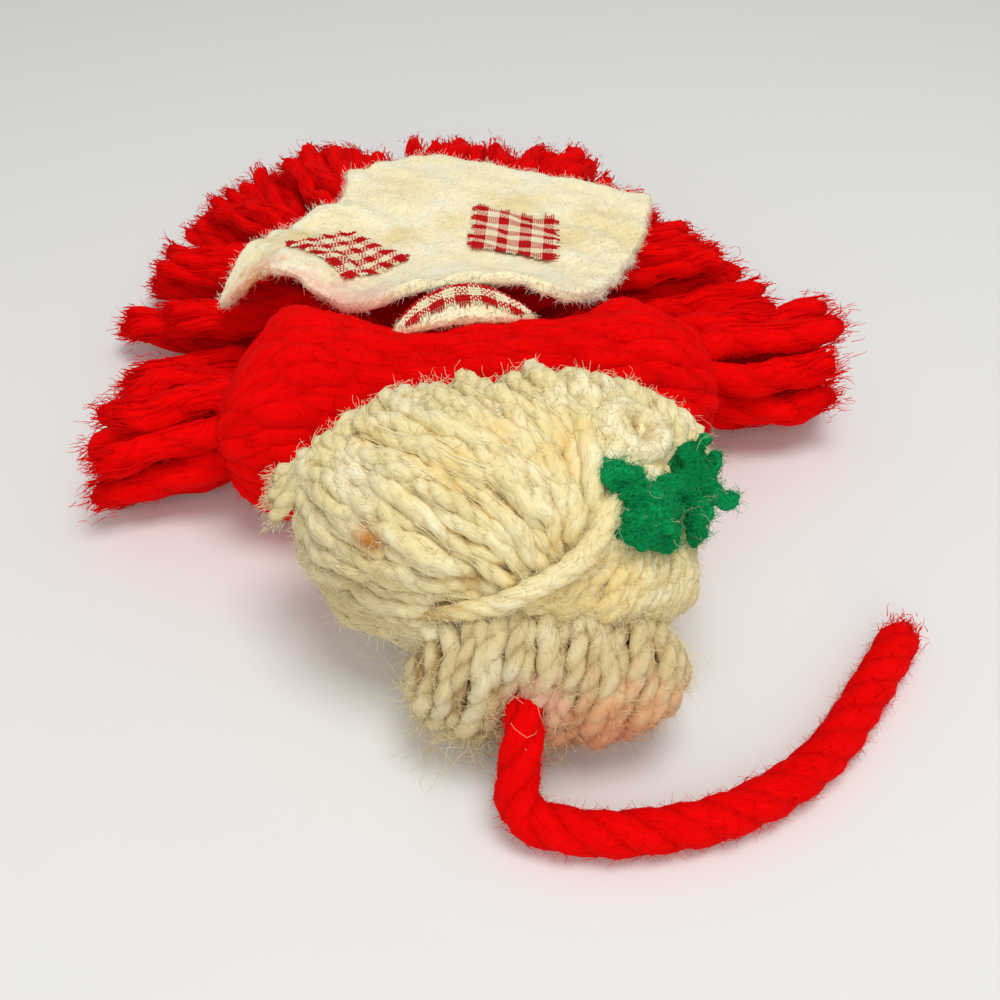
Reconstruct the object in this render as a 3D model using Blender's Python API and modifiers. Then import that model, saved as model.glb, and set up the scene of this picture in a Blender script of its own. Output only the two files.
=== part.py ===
"""A yarn doll ornament with a bun, a holly sprig and a felt apron, lying on its back.

The doll lies along Y: the bun points to -Y, the skirt fans out to +Y, the front faces +Z.
The origin is on the floor, in the middle of the flat that the chest rests on.
"""
import math

import bmesh
import bpy
import numpy as np
from mathutils import Matrix, Vector

# Clearances
GAP = 0.00032
SWING_GAP = 0.00055

# Thread and yarn
THREAD = 0.0011
WOUND_YARN = 0.0015

# Chest: the horizontal roll of red yarn
CHEST_WIDTH = 0.0540
CHEST_DEPTH = 0.0190
CHEST_HEIGHT = 0.0220
CHEST_FULLNESS = 3.2
FLAT_CUT = 0.0005

# Torso bundle that runs through the chest from the neck to the skirt
CORE_RADIUS = 0.0050
CORE_RISE = 0.0095
TIED_RADIUS = 0.0039
NECK_BALL_RADIUS = 0.0042
NECK_RISE = 0.0078
NECK_REACH = 0.0044

# Head: a ball of wadding inside the hair
HEAD_WIDTH = 0.0270
HEAD_DEPTH = 0.0165
HEAD_HEIGHT = 0.0210
HEAD_OFFSET = 0.0058
HEAD_RISE = 0.0138
HEAD_TILT = math.radians(8.0)
FACE_WIDTH = 0.0160
FACE_HEIGHT = 0.0115
FACE_THICKNESS = 0.0010
FACE_TILT = math.radians(52.0)
EYE_RADIUS = 0.00090
EYE_SPACING = 0.0060
EYE_HEIGHT = 0.0012
MOUTH_WIDTH = 0.0040
MOUTH_DROP = 0.0028
MOUTH_BOW = 0.0005
MOUTH_THREAD = 0.0008

# Hair: the cap of cream yarn over the head
HAIR_WIDTH = 0.0410
HAIR_DEPTH = 0.0244
HAIR_HEIGHT = 0.0282
HAIR_OFFSET = 0.0079
HAIR_RISE = 0.0147
HAIR_FULLNESS = 2.3
HAIR_TAPER_SHARE = 0.25
HAIR_LEAN = 0.0033
TUFT_THICKNESS = 0.0078
LOBE_THICKNESS = 0.0074
CURL_RADIUS = 0.0020
CURL_YARN = 0.0016
STRAND_YARN = 0.0026
TUFT_END_SHARES = ((-0.12, 161), (0.62, 160))
LOBE_END_SHARES = ((-0.15, -24), (-0.84, -26))
CURL_PLACE_SHARE = (-0.10, 60)
STRAND_DEPTH_SHARE = -0.80
STRAND_BOW_SHARE = 0.14
STRAND_TURN = 78
STRAND_SWEEP = 88
STRAND_POINTS = 11
LOCK_LIFT_SHARE = 0.3
LOCK_FULLNESS = 2.2

# Bun: a roll of wadding with yarn wound round it
BUN_LENGTH = 0.0250
BUN_DEPTH = 0.0112
BUN_HEIGHT = 0.0144
BUN_OFFSET = 0.0137
BUN_RISE = 0.0083
BUN_SHIFT = 0.0018
BUN_TURN = math.radians(-10.0)
BUN_TURNS = 12
BUN_LOOP_POINTS = 20
BUN_FULLNESS = 2.6
BUN_END_SHARE = 1.13

# Holly sprig
HOLLY_KNOT = 0.0056
HOLLY_KNOT_HEIGHT = 0.0048
HOLLY_KNOT_LIFT = 0.0020
HOLLY_KNOT_PLACE_SHARE = (-0.74, 47)
HOLLY_KNOT_FULLNESS = 2.3
HOLLY_LEAF_WIDTH = 0.0032
HOLLY_LEAF_THICKNESS = 0.0022
HOLLY_LEAF_LIFT_SHARE = 0.55
HOLLY_LEAF_END_SHARES = {
    "holly_leaf_left": ((-0.70, 55), (-0.54, 79)),
    "holly_leaf_top": ((-0.54, 45), (-0.08, 35)),
    "holly_leaf_right": ((-0.56, 28), (-0.24, 9)),
    "holly_leaf_low": ((-0.80, 32), (-0.70, 6)),
}

# Skirt: cut locks of yarn that fan out from the waist
HUB_RADIUS = 0.0085
HUB_HEIGHT = 0.0158
HUB_FULLNESS = 2.6
SKIRT_SIDE_REACH = 0.0455
SKIRT_FRONT_REACH = 0.0640
SKIRT_REACH_POWER = 2.4
SKIRT_START = math.radians(16.0)
SKIRT_END = math.radians(172.0)
LOWER_LOCKS = 11
UPPER_LOCKS = 8
LOWER_LOCK_RADIUS = 0.0040
UPPER_LOCK_RADIUS = 0.0035
LOWER_REACH_SHARES = (1.02, 0.99, 0.96, 0.98, 1.0, 0.98, 1.02, 0.98, 1.01, 1.02, 0.97)
UPPER_REACH_SHARES = (0.88, 0.85, 0.90, 0.87, 0.91, 0.88, 0.90, 0.86)
LOCK_STEP_SHARES = (0, 0.2, 0.45, 0.7, 0.94, 1)
CUT_END_SHARE = 0.86

# Arms: bundles of cut yarn pushed into the chest
ARM_SPREAD = 0.0500
ARM_SETBACK = 0.0065
ARM_RISE = 0.0090
ARM_BALL_RADIUS = 0.0050
ARM_LENGTH = 0.0212
ARM_STRANDS = 5
ARM_ROOT_FLARE = 0.0034
ARM_TIP_FLARE = 0.0049
ARM_STRAND_SHARE = 0.54
ARM_STEP_SHARES = (0, 0.35, 0.7, 0.95, 1)
ARM_DROOP_LEFT = math.radians(9.0)
ARM_DROOP_RIGHT = math.radians(-1.0)

# Apron: a wavy sheet of felt over the skirt, with two patches
APRON_WIDTH = 0.0580
APRON_LENGTH = 0.0480
APRON_SETBACK = 0.0064
FELT = 0.0012
WAIST_STEP = 0.0040
WAIST_SPAN = 0.0120
LOBE_HEIGHT = 0.0034
LOBE_SPAN = 0.0080
ARCH_HEIGHT = 0.0042
ARCH_HALF_WIDTH = 0.0108
ARCH_SPAN = 0.0075
APRON_NEAR_SHARES = (
    (-0.474, 0.352), (-0.379, 0.242), (-0.25, 0.117), (-0.138, 0.022),
    (-0.005, 0.054), (0.15, 0.010), (0.224, 0.03), (0.288, 0.071),
)
APRON_RIGHT_SHARES = ((0.288, 0.071), (0.371, 0.221), (0.443, 0.379), (0.521, 0.619))
APRON_LEFT_SHARES = ((-0.474, 0.352), (-0.36, 0.53), (-0.247, 0.644), (-0.184, 0.769), (-0.164, 0.921))
APRON_FAR_SHARES = ((-0.164, 0.921), (0.04, 0.99), (0.2, 0.875), (0.376, 0.742), (0.521, 0.619))
LOBE_PLACE_SHARE = (-0.345, 0.36)
FELT_SLOPE_SHARE = 1.04
PATCH_CLOTH = 0.0004
PATCH_RIGHT_SIZE = 0.0114
PATCH_RIGHT_PLACE_SHARE = (0.168, 0.437)
PATCH_RIGHT_TURN = math.radians(-21.0)
PATCH_LEFT_SIZE = 0.0102
PATCH_LEFT_PLACE_SHARE = (-0.198, 0.354)
PATCH_LEFT_TURN = math.radians(16.0)
BIB_WIDTH = 0.0154
BIB_LENGTH = 0.0042
BIB_SETBACK = 0.0042
BIB_PATCH_WIDTH = 0.0128
BIB_PATCH_LENGTH = 0.0024
BIB_ROUND_SHARE = 0.3

# Hanging cord: the route of its centre line over the floor
CORD_YARN = 0.0043
CORD_STEPS = 2
CORD_ROUTE = (
    (-0.0010, -0.0420, 0.0094),
    (-0.0024, -0.0436, 0.0076),
    (-0.0034, -0.0446, 0.0052),
    (-0.0032, -0.0458, 0.0033),
    (-0.0014, -0.0472, 0.0024),
    (0.0022, -0.0486, 0.0023),
    (0.0077, -0.0494, 0.0023),
    (0.0161, -0.0488, 0.0023),
    (0.0252, -0.0449, 0.0023),
    (0.0330, -0.0380, 0.0023),
    (0.0396, -0.0315, 0.0023),
)

# Places that follow from the sizes above
CHEST_RISE = CHEST_HEIGHT / 2 - FLAT_CUT
CHEST_FRONT = CHEST_DEPTH / 2
NECK = Vector((0, -CHEST_FRONT - NECK_REACH, NECK_RISE))
HUB_RISE = HUB_HEIGHT / 2 + GAP
WAIST = Vector((0, CHEST_FRONT + 2 * THREAD + HUB_RADIUS, HUB_RISE))
HEAD = Vector((0, NECK.y - HEAD_OFFSET, HEAD_RISE))
HAIR = Vector((0, NECK.y - HAIR_OFFSET, HAIR_RISE))
BUN = Vector((BUN_SHIFT, HAIR.y - BUN_OFFSET, BUN_RISE))
LOWER_RISE = LOWER_LOCK_RADIUS + GAP
UPPER_RISE = 2 * LOWER_RISE + UPPER_LOCK_RADIUS
APRON_FLOOR = UPPER_RISE + UPPER_LOCK_RADIUS + GAP
APRON_HINGE = Vector((0, APRON_SETBACK, APRON_FLOOR + WAIST_STEP))


# Scene and materials
def clear_scene():
    for old in list(bpy.data.objects):
        bpy.data.objects.remove(old, do_unlink=True)


def add_collection(name):
    collection = bpy.data.collections.new(name)
    bpy.context.scene.collection.children.link(collection)
    return collection


def make_material(name, colour, roughness, metallic=0):
    material = bpy.data.materials.new(name)
    material.use_nodes = True
    surface = material.node_tree.nodes["Principled BSDF"]
    surface.inputs["Base Color"].default_value = (*colour, 1)
    surface.inputs["Roughness"].default_value = roughness
    surface.inputs["Metallic"].default_value = metallic
    material.diffuse_color = (*colour, 1)
    return material


def red_yarn(name):
    return make_material(name + "_red_yarn", (0.72, 0.004, 0.006), 0.9)


def cream_yarn(name):
    return make_material(name + "_cream_yarn", (0.85, 0.76, 0.55), 0.9)


def green_yarn(name):
    return make_material(name + "_green_yarn", (0.005, 0.26, 0.06), 0.9)


def cream_felt(name):
    return make_material(name + "_cream_felt", (0.88, 0.83, 0.66), 0.95)


def gingham(name):
    return make_material(name + "_gingham", (0.70, 0.25, 0.22), 0.85)


def skin_felt(name):
    return make_material(name + "_skin_felt", (0.85, 0.55, 0.40), 0.9)


def black_bead(name):
    return make_material(name + "_black_bead", (0.01, 0.01, 0.012), 0.2)


# Object helpers
def add_pivot(name, place):
    """An empty on a joint's axis, which the moving pieces hang from."""
    pivot = bpy.data.objects.new(name, None)
    pivot.location = place
    parts.objects.link(pivot)
    bpy.context.view_layer.update()
    return pivot


def place_under(made, parent, collection):
    made.parent = parent
    collection.objects.link(made)
    bpy.context.view_layer.update()
    return made


def add_mesh(name, bm, material, parent=None, collection=None):
    """An object from points in doll coordinates, with its origin where its parent is."""
    if parent:
        bm.transform(parent.matrix_world.inverted())
    mesh = bpy.data.meshes.new(name)
    bm.to_mesh(mesh)
    bm.free()
    mesh.shade_smooth()
    mesh.materials.append(material)
    return place_under(bpy.data.objects.new(name, mesh), parent, collection or parts)


def add_cutter(name, bm):
    cutter = add_mesh(name, bm, cutter_material, collection=cutters)
    cutter.hide_render = True
    cutter.display_type = "WIRE"
    return cutter


def cut(target, cutter):
    boolean = target.modifiers.new("cut_" + cutter.name, "BOOLEAN")
    boolean.operation = "DIFFERENCE"
    boolean.solver = "EXACT"
    boolean.object = cutter


def swelled(value, fullness):
    return math.copysign(abs(value) ** (2 / fullness), value)


def section_share(share, fullness):
    """How wide a swelled form still is at this share of its half length."""
    return max(0, 1 - abs(share) ** fullness) ** (1 / fullness)


def sphere(around, rows):
    bm = bmesh.new()
    bmesh.ops.create_uvsphere(bm, u_segments=around, v_segments=rows, radius=1)
    return bm


def soft_form(size, place, fullness, around, rows, basis=None):
    """A sphere swelled towards a box: fullness 2 leaves it an ellipsoid."""
    bm = sphere(around, rows)
    for vert in bm.verts:
        vert.co = Vector(swelled(vert.co[axis], fullness) * size[axis] / 2 for axis in range(3))
    turn = basis.to_4x4() if basis else Matrix.Identity(4)
    bm.transform(Matrix.Translation(place) @ turn)
    return bm


def roll_form(half_length, half_depth, half_height, fullness, around, rows, frame):
    """A roll along X, oval in section, that stays full towards its two ends."""
    bm = sphere(around, rows)
    bm.transform(Matrix.Rotation(math.radians(90), 4, "Y"))
    for vert in bm.verts:
        angle = math.atan2(vert.co.z, vert.co.y)
        share = swelled(min(1, math.hypot(vert.co.y, vert.co.z)), fullness)
        vert.co.x = swelled(vert.co.x, fullness) * half_length
        vert.co.y = share * math.cos(angle) * half_depth
        vert.co.z = share * math.sin(angle) * half_height
    bm.transform(frame)
    return bm


def ball_form(radius, place, around=14, rows=10):
    return soft_form((2 * radius,) * 3, place, 2, around, rows)


def smooth_route(points, steps):
    """Points along one smooth curve through the given ones, with steps to each stretch."""
    places = [Vector(point) for point in points]
    chain = [2 * places[0] - places[1], *places, 2 * places[-1] - places[-2]]
    route = []
    for index in range(1, len(chain) - 2):
        a, b, c, d = chain[index - 1:index + 3]
        for step in range(steps):
            t = step / steps
            bend = 2 * a - 5 * b + 4 * c - d
            twist = 3 * b - a - 3 * c + d
            route.append(b + ((c - a) * t + bend * t ** 2 + twist * t ** 3) / 2)
    route.append(places[-1])
    return route


def add_tube(name, route, radii, material, parent=None, rounds=2):
    """A curve with a bevel along the route, as thick at each point as its radius says."""
    frame = parent.matrix_world.inverted() if parent else Matrix.Identity(4)
    curve = bpy.data.curves.new(name, "CURVE")
    curve.dimensions = "3D"
    curve.bevel_depth = max(radii)
    curve.bevel_resolution = rounds
    curve.use_fill_caps = True
    spline = curve.splines.new("POLY")
    spline.points.add(len(route) - 1)
    for point, place, radius in zip(spline.points, route, radii):
        point.co = (*(frame @ Vector(place)), 1)
        point.radius = radius / max(radii)
    curve.materials.append(material)
    return place_under(bpy.data.objects.new(name, curve), parent, parts)


def tube_form(name, route, radii, rounds):
    """The same tube as a closed mesh, for a piece that is cut or that cuts."""
    tube = add_tube(name + "_guide", route, radii, cutter_material, rounds=rounds)
    bpy.context.view_layer.update()
    graph = bpy.context.evaluated_depsgraph_get()
    mesh = bpy.data.meshes.new_from_object(tube.evaluated_get(graph))
    bm = bmesh.new()
    bm.from_mesh(mesh)
    bmesh.ops.remove_doubles(bm, verts=bm.verts, dist=GAP / 100)
    bm.transform(tube.matrix_world)
    bpy.data.objects.remove(tube)
    bpy.data.meshes.remove(mesh)
    return bm


def add_ring(name, radius, yarn, place, material, basis, parent=None):
    """A ring of thread: a small circle spun round the ring's own axis."""
    bm = bmesh.new()
    section = bmesh.ops.create_circle(bm, segments=6, radius=yarn / 2)["verts"]
    upright = Matrix.Rotation(math.radians(90), 4, "X")
    bmesh.ops.transform(bm, matrix=Matrix.Translation((radius, 0, 0)) @ upright, verts=section)
    bmesh.ops.spin(bm, geom=bm.verts[:] + bm.edges[:], axis=(0, 0, 1), cent=(0, 0, 0),
                   angle=math.tau, steps=18, use_merge=True)
    bmesh.ops.remove_doubles(bm, verts=bm.verts, dist=GAP / 100)
    bmesh.ops.recalc_face_normals(bm, faces=bm.faces)
    bm.transform(Matrix.Translation(place) @ basis.to_4x4())
    return add_mesh(name, bm, material, parent)


def basis_from(along, up):
    """A turn that brings X along one direction and Z near another."""
    x_axis = along.normalized()
    y_axis = up.cross(x_axis).normalized()
    z_axis = x_axis.cross(y_axis)
    return Matrix((x_axis, y_axis, z_axis)).transposed()


def least_gap(route, yarn, skip):
    """Least distance between two stretches of one tube, skip points apart or more."""
    points = np.array([tuple(place) for place in route])
    least = math.inf
    for index in range(len(points) - skip):
        reach = np.linalg.norm(points[index + skip:] - points[index], axis=1)
        least = min(least, float(reach.min()))
    return least - yarn


# Chest
def chest_form():
    return roll_form(CHEST_WIDTH / 2, CHEST_DEPTH / 2, CHEST_HEIGHT / 2, CHEST_FULLNESS, 28, 14,
                     Matrix.Translation((0, 0, CHEST_RISE)))


def chest_top(x, y):
    """Height of the chest's upper side over a place on the floor."""
    section = section_share(x / (CHEST_WIDTH / 2), CHEST_FULLNESS)
    across = section_share(y / (CHEST_DEPTH / 2 * section), 2)
    return CHEST_RISE + CHEST_HEIGHT / 2 * section * across


def chest_swing_cutter(name, turn):
    """The chest as the tilting head meets it, which the hair is cut back from."""
    bm = roll_form(CHEST_WIDTH / 2 + GAP, CHEST_DEPTH / 2 + GAP, CHEST_HEIGHT / 2 + GAP,
                   CHEST_FULLNESS, 28, 14, Matrix.Translation((0, 0, CHEST_RISE)))
    bm.transform(Matrix.Translation(NECK) @ Matrix.Rotation(turn, 4, "Z") @ Matrix.Translation(-NECK))
    return add_cutter(name, bm)


def floor_cutter():
    bm = bmesh.new()
    bmesh.ops.create_cube(bm, size=1)
    size = Matrix.Diagonal((CHEST_WIDTH, CHEST_DEPTH, CHEST_HEIGHT, 1))
    bm.transform(Matrix.Translation((0, 0, -CHEST_HEIGHT / 2)) @ size)
    return add_cutter("floor_cutter", bm)


def core_route(grow=0):
    """Centre line and radii of the torso bundle, tied in at the neck and the waist."""
    route = []
    radii = []
    for turn in (80, 60, 35, 0):
        angle = math.radians(turn)
        route.append(NECK - Vector((0, (NECK_BALL_RADIUS + grow) * math.sin(angle), 0)))
        radii.append((NECK_BALL_RADIUS + grow) * math.cos(angle))
    neck_tie = Vector((0, neck_tie_place(), NECK_RISE))
    waist_tie = Vector((0, CHEST_FRONT + THREAD, CORE_RISE))
    for place, radius in (
        (neck_tie, TIED_RADIUS),
        (Vector((0, -CHEST_FRONT / 2, CORE_RISE)), CORE_RADIUS),
        (Vector((0, CHEST_FRONT / 2, CORE_RISE)), CORE_RADIUS),
        (waist_tie, TIED_RADIUS),
        (Vector((0, WAIST.y, CORE_RISE)), CORE_RADIUS),
        (Vector((0, WAIST.y + grow + THREAD, CORE_RISE)), CORE_RADIUS),
    ):
        route.append(place)
        radii.append(radius + grow)
    return route, radii


def neck_tie_place():
    return -CHEST_FRONT - THREAD - GAP / 2


def build_torso():
    route, radii = core_route()
    add_mesh("torso_core", tube_form("torso_core", route, radii, 4), red_yarn("torso_core"))
    bore_route, bore_radii = core_route(GAP)
    bore = add_cutter("core_cutter", tube_form("core_bore", bore_route, bore_radii, 4))
    chest = add_mesh("chest_roll", chest_form(), red_yarn("chest_roll"))
    cut(chest, floor_cutter())
    cut(chest, bore)
    for side, pivot in (("left", arm_place(-1)), ("right", arm_place(1))):
        socket = ball_form(ARM_BALL_RADIUS + SWING_GAP, pivot)
        cut(chest, add_cutter("shoulder_cutter_" + side, socket))
    upright = Matrix.Translation(WAIST) @ Matrix.Rotation(math.radians(90), 4, "Y")
    hub_form = roll_form(HUB_HEIGHT / 2, HUB_RADIUS, HUB_RADIUS, HUB_FULLNESS, 18, 10, upright)
    hub = add_mesh("skirt_gather", hub_form, red_yarn("skirt_gather"))
    cut(hub, bore)
    across = basis_from(Vector((1, 0, 0)), Vector((0, 1, 0)))
    ring_radius = TIED_RADIUS + GAP + THREAD / 2
    add_ring("neck_tie", ring_radius, THREAD, (0, neck_tie_place(), NECK_RISE),
             red_yarn("neck_tie"), across)
    add_ring("waist_tie", ring_radius, THREAD, (0, CHEST_FRONT + THREAD, CORE_RISE),
             red_yarn("waist_tie"), across)


# Skirt
def skirt_reach(angle):
    front_share = math.sin(angle) ** SKIRT_REACH_POWER
    return SKIRT_SIDE_REACH + (SKIRT_FRONT_REACH - SKIRT_SIDE_REACH) * front_share


def add_lock(name, angle, spread, reach, rise, tip_radius):
    """One lock: as thick as the fan leaves room for, up to its full radius."""
    start = HUB_RADIUS + GAP
    direction = Vector((math.cos(angle), math.sin(angle), 0))
    route = []
    radii = []
    for share in LOCK_STEP_SHARES:
        distance = start + (reach - start) * share
        room = distance * math.sin(spread / 2) - GAP / 2
        route.append(Vector((WAIST.x, WAIST.y, rise)) + direction * distance)
        radii.append(min(tip_radius, room))
    radii[-1] *= CUT_END_SHARE
    add_tube(name, route, radii, red_yarn(name))


def build_skirt():
    for layer, count, rise, radius, shares in (
        ("lower", LOWER_LOCKS, LOWER_RISE, LOWER_LOCK_RADIUS, LOWER_REACH_SHARES),
        ("upper", UPPER_LOCKS, UPPER_RISE, UPPER_LOCK_RADIUS, UPPER_REACH_SHARES),
    ):
        lower_spread = (SKIRT_END - SKIRT_START) / (LOWER_LOCKS - 1)
        inset = 0 if layer == "lower" else lower_spread / 2
        spread = (SKIRT_END - SKIRT_START - 2 * inset) / (count - 1)
        for index in range(count):
            angle = SKIRT_START + inset + spread * index
            reach = skirt_reach(angle) * shares[index % len(shares)]
            add_lock(f"skirt_lock_{layer}_{index + 1:02d}", angle, spread, reach, rise, radius)


# Arms
def arm_place(side):
    return Vector((side * ARM_SPREAD / 2, ARM_SETBACK, ARM_RISE))


def build_arm(name, side, droop):
    """A ball in the chest's shoulder and a bundle of cut strands that flares outwards."""
    place = arm_place(side)
    pivot = add_pivot(name + "_pivot", place)
    add_mesh(name + "_root", ball_form(ARM_BALL_RADIUS, place), red_yarn(name + "_root"), pivot)
    outward = Vector((side * math.cos(droop), 0, -math.sin(droop)))
    upward = Vector((0, 1, 0)).cross(outward) * side
    start = ARM_BALL_RADIUS + GAP
    for index in range(ARM_STRANDS):
        angle = math.tau * (index + 0.5) / ARM_STRANDS
        sideways = Vector((0, 1, 0)) * math.sin(angle) - upward * math.cos(angle)
        route = []
        radii = []
        for share in ARM_STEP_SHARES:
            flare = ARM_ROOT_FLARE + (ARM_TIP_FLARE - ARM_ROOT_FLARE) * math.sqrt(share)
            route.append(place + outward * (start + (ARM_LENGTH - start) * share) + sideways * flare)
            radii.append(flare * ARM_STRAND_SHARE)
        radii[-1] *= CUT_END_SHARE
        strand = f"{name}_strand_{index + 1}"
        add_tube(strand, route, radii, red_yarn(strand), pivot)


# Head and face
def head_form(grow=0):
    size = (HEAD_WIDTH + 2 * grow, HEAD_DEPTH + 2 * grow, HEAD_HEIGHT + 2 * grow)
    return soft_form(size, HEAD, 2, 18, 12)


def face_place(across, up, lift=0):
    """A place on the head's front, across and up in metres, lifted off it along its normal."""
    facing = Vector((0, math.cos(FACE_TILT), math.sin(FACE_TILT)))
    rising = Vector((0, -math.sin(FACE_TILT), math.cos(FACE_TILT)))
    start = Vector((across, 0, 0)) + rising * up
    halves = (HEAD_WIDTH / 2 + lift, HEAD_DEPTH / 2 + lift, HEAD_HEIGHT / 2 + lift)
    scaled_start = Vector(start[axis] / halves[axis] for axis in range(3))
    scaled_facing = Vector(facing[axis] / halves[axis] for axis in range(3))
    square = scaled_facing.length_squared
    half_slope = scaled_start.dot(scaled_facing)
    depth = (-half_slope + math.sqrt(half_slope ** 2 - square * (scaled_start.length_squared - 1))) / square
    return HEAD + start + facing * depth


def face_cutter(grow):
    """A plug along the face's own direction, from inside the head to outside the hair."""
    bm = bmesh.new()
    bmesh.ops.create_cone(bm, cap_ends=True, segments=24, radius1=1, radius2=1, depth=1)
    size = (FACE_WIDTH / 2 + grow, FACE_HEIGHT / 2 + grow, HAIR_HEIGHT)
    bm.transform(Matrix.Diagonal((*size, 1)))
    bm.transform(Matrix.Translation((0, 0, HAIR_HEIGHT / 2)))
    facing = Vector((0, math.cos(FACE_TILT), math.sin(FACE_TILT)))
    bm.transform(Matrix.Translation(HEAD) @ facing.to_track_quat("Z", "Y").to_matrix().to_4x4())
    return add_cutter("face_cutter", bm)


def build_face(pivot):
    bm = bmesh.new()
    bmesh.ops.create_grid(bm, x_segments=7, y_segments=7, size=1)
    for vert in bm.verts:
        across = vert.co.x * math.sqrt(1 - vert.co.y ** 2 / 2) * FACE_WIDTH / 2
        up = vert.co.y * math.sqrt(1 - vert.co.x ** 2 / 2) * FACE_HEIGHT / 2
        vert.co = face_place(across, up, GAP)
    bmesh.ops.recalc_face_normals(bm, faces=bm.faces)
    if sum((face.normal.z for face in bm.faces)) < 0:
        bmesh.ops.reverse_faces(bm, faces=bm.faces)
    face = add_mesh("face", bm, skin_felt("face"), pivot)
    solidify = face.modifiers.new("felt", "SOLIDIFY")
    solidify.thickness = FACE_THICKNESS
    solidify.offset = 1
    front = GAP + FACE_THICKNESS
    for name, side in (("eye_left", -1), ("eye_right", 1)):
        place = face_place(side * EYE_SPACING / 2, EYE_HEIGHT, front + GAP + EYE_RADIUS)
        add_mesh(name, ball_form(EYE_RADIUS, place, 8, 6), black_bead(name), pivot)
    route = []
    for share in (-1, -0.5, 0, 0.5, 1):
        up = -MOUTH_DROP + MOUTH_BOW * share ** 2
        route.append(face_place(share * MOUTH_WIDTH / 2, up, front + GAP + MOUTH_THREAD / 2))
    add_tube("mouth", route, [MOUTH_THREAD / 2] * len(route), red_yarn("mouth"), pivot)


# Hair
def hair_centre(depth_share):
    return BUN_SHIFT / 3 - HAIR_LEAN * depth_share


def hair_half_width(depth_share):
    return HAIR_WIDTH / 2 * (1 + HAIR_TAPER_SHARE * depth_share)


def hair_form(grow=0):
    """The outer form of the hair, narrower and leaning towards the bun."""
    bm = sphere(28, 16)
    for vert in bm.verts:
        share = [swelled(value, HAIR_FULLNESS) for value in vert.co]
        depth = share[1]
        vert.co.x = hair_centre(depth) + share[0] * (hair_half_width(depth) + grow)
        vert.co.y = HAIR.y + depth * (HAIR_DEPTH / 2 + grow)
        vert.co.z = HAIR.z + share[2] * (HAIR_HEIGHT / 2 + grow)
    return bm


def on_hair(depth_share, turn, lift=0):
    """A place on the hair and its normal: depth from the bun, turn from the right side up."""
    section = section_share(depth_share, HAIR_FULLNESS)
    half_width = hair_half_width(depth_share) * section
    half_height = HAIR_HEIGHT / 2 * section
    angle = math.radians(turn)
    across = swelled(math.cos(angle), HAIR_FULLNESS)
    up = swelled(math.sin(angle), HAIR_FULLNESS)
    place = Vector((hair_centre(depth_share) + across * half_width,
                    HAIR.y + depth_share * HAIR_DEPTH / 2,
                    HAIR.z + up * half_height))
    power = HAIR_FULLNESS - 1
    normal = Vector((
        math.copysign(abs(across * section) ** power, across) / hair_half_width(depth_share),
        math.copysign(abs(depth_share) ** power, depth_share) / (HAIR_DEPTH / 2),
        math.copysign(abs(up * section) ** power, up) / (HAIR_HEIGHT / 2),
    )).normalized()
    return place + normal * lift, normal


def lay_on_hair(name, ends, thickness, width, material, pivot, cutter_list, lift):
    """A soft lock laid on the hair between two of its places, cut by what it lies on."""
    place_a, normal_a = on_hair(*ends[0], lift)
    place_b, normal_b = on_hair(*ends[1], lift)
    along = place_b - place_a
    size = (along.length, width, thickness)
    basis = basis_from(along, normal_a + normal_b)
    bm = soft_form(size, (place_a + place_b) / 2, LOCK_FULLNESS, 12, 8, basis)
    lock = add_mesh(name, bm, material, pivot)
    for cutter in cutter_list:
        cut(lock, cutter)
    return lock


def build_hair(pivot):
    hair = add_mesh("hair_cap", hair_form(), cream_yarn("hair_cap"), pivot)
    cut(hair, add_cutter("head_cutter", head_form(GAP)))
    cut(hair, face_cutter(GAP + FACE_THICKNESS / 2))
    neck_well = TIED_RADIUS + 2 * GAP + THREAD + SWING_GAP
    well_reach = math.hypot(neck_well, neck_tie_place() + THREAD / 2 - NECK.y)
    cut(hair, add_cutter("neck_well_cutter", ball_form(well_reach, NECK)))
    for name, turn in (("chest_left_cutter", -HEAD_TILT), ("chest_right_cutter", HEAD_TILT)):
        cut(hair, chest_swing_cutter(name, turn))
    bun_cutter = add_cutter("bun_cutter", bun_form(WOUND_YARN / 2 + GAP, WOUND_YARN))
    cut(hair, bun_cutter)
    on_top = add_cutter("hair_cutter", hair_form(GAP))
    lay_on_hair("hair_tuft_left", TUFT_END_SHARES, TUFT_THICKNESS, TUFT_THICKNESS,
                cream_yarn("hair_tuft_left"), pivot, [on_top], TUFT_THICKNESS * LOCK_LIFT_SHARE)
    lay_on_hair("hair_lobe_right", LOBE_END_SHARES, LOBE_THICKNESS, LOBE_THICKNESS,
                cream_yarn("hair_lobe_right"), pivot, [on_top, bun_cutter],
                LOBE_THICKNESS * LOCK_LIFT_SHARE)
    place, normal = on_hair(*CURL_PLACE_SHARE, CURL_YARN / 2 + GAP)
    add_ring("hair_curl", CURL_RADIUS, CURL_YARN, place, cream_yarn("hair_curl"),
             basis_from(normal.orthogonal(), normal), pivot)
    route = []
    for step in range(STRAND_POINTS):
        share = step / (STRAND_POINTS - 1)
        depth = STRAND_DEPTH_SHARE - STRAND_BOW_SHARE * math.sin(math.pi * share)
        place, normal = on_hair(depth, STRAND_TURN + STRAND_SWEEP * share, STRAND_YARN / 2 + GAP)
        route.append(place)
    radii = [STRAND_YARN / 2] * len(route)
    add_tube("hair_strand", route, radii, cream_yarn("hair_strand"), pivot)
    return on_top


# Bun
def bun_frame():
    return Matrix.Translation(BUN) @ Matrix.Rotation(BUN_TURN, 4, "Z")


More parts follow.
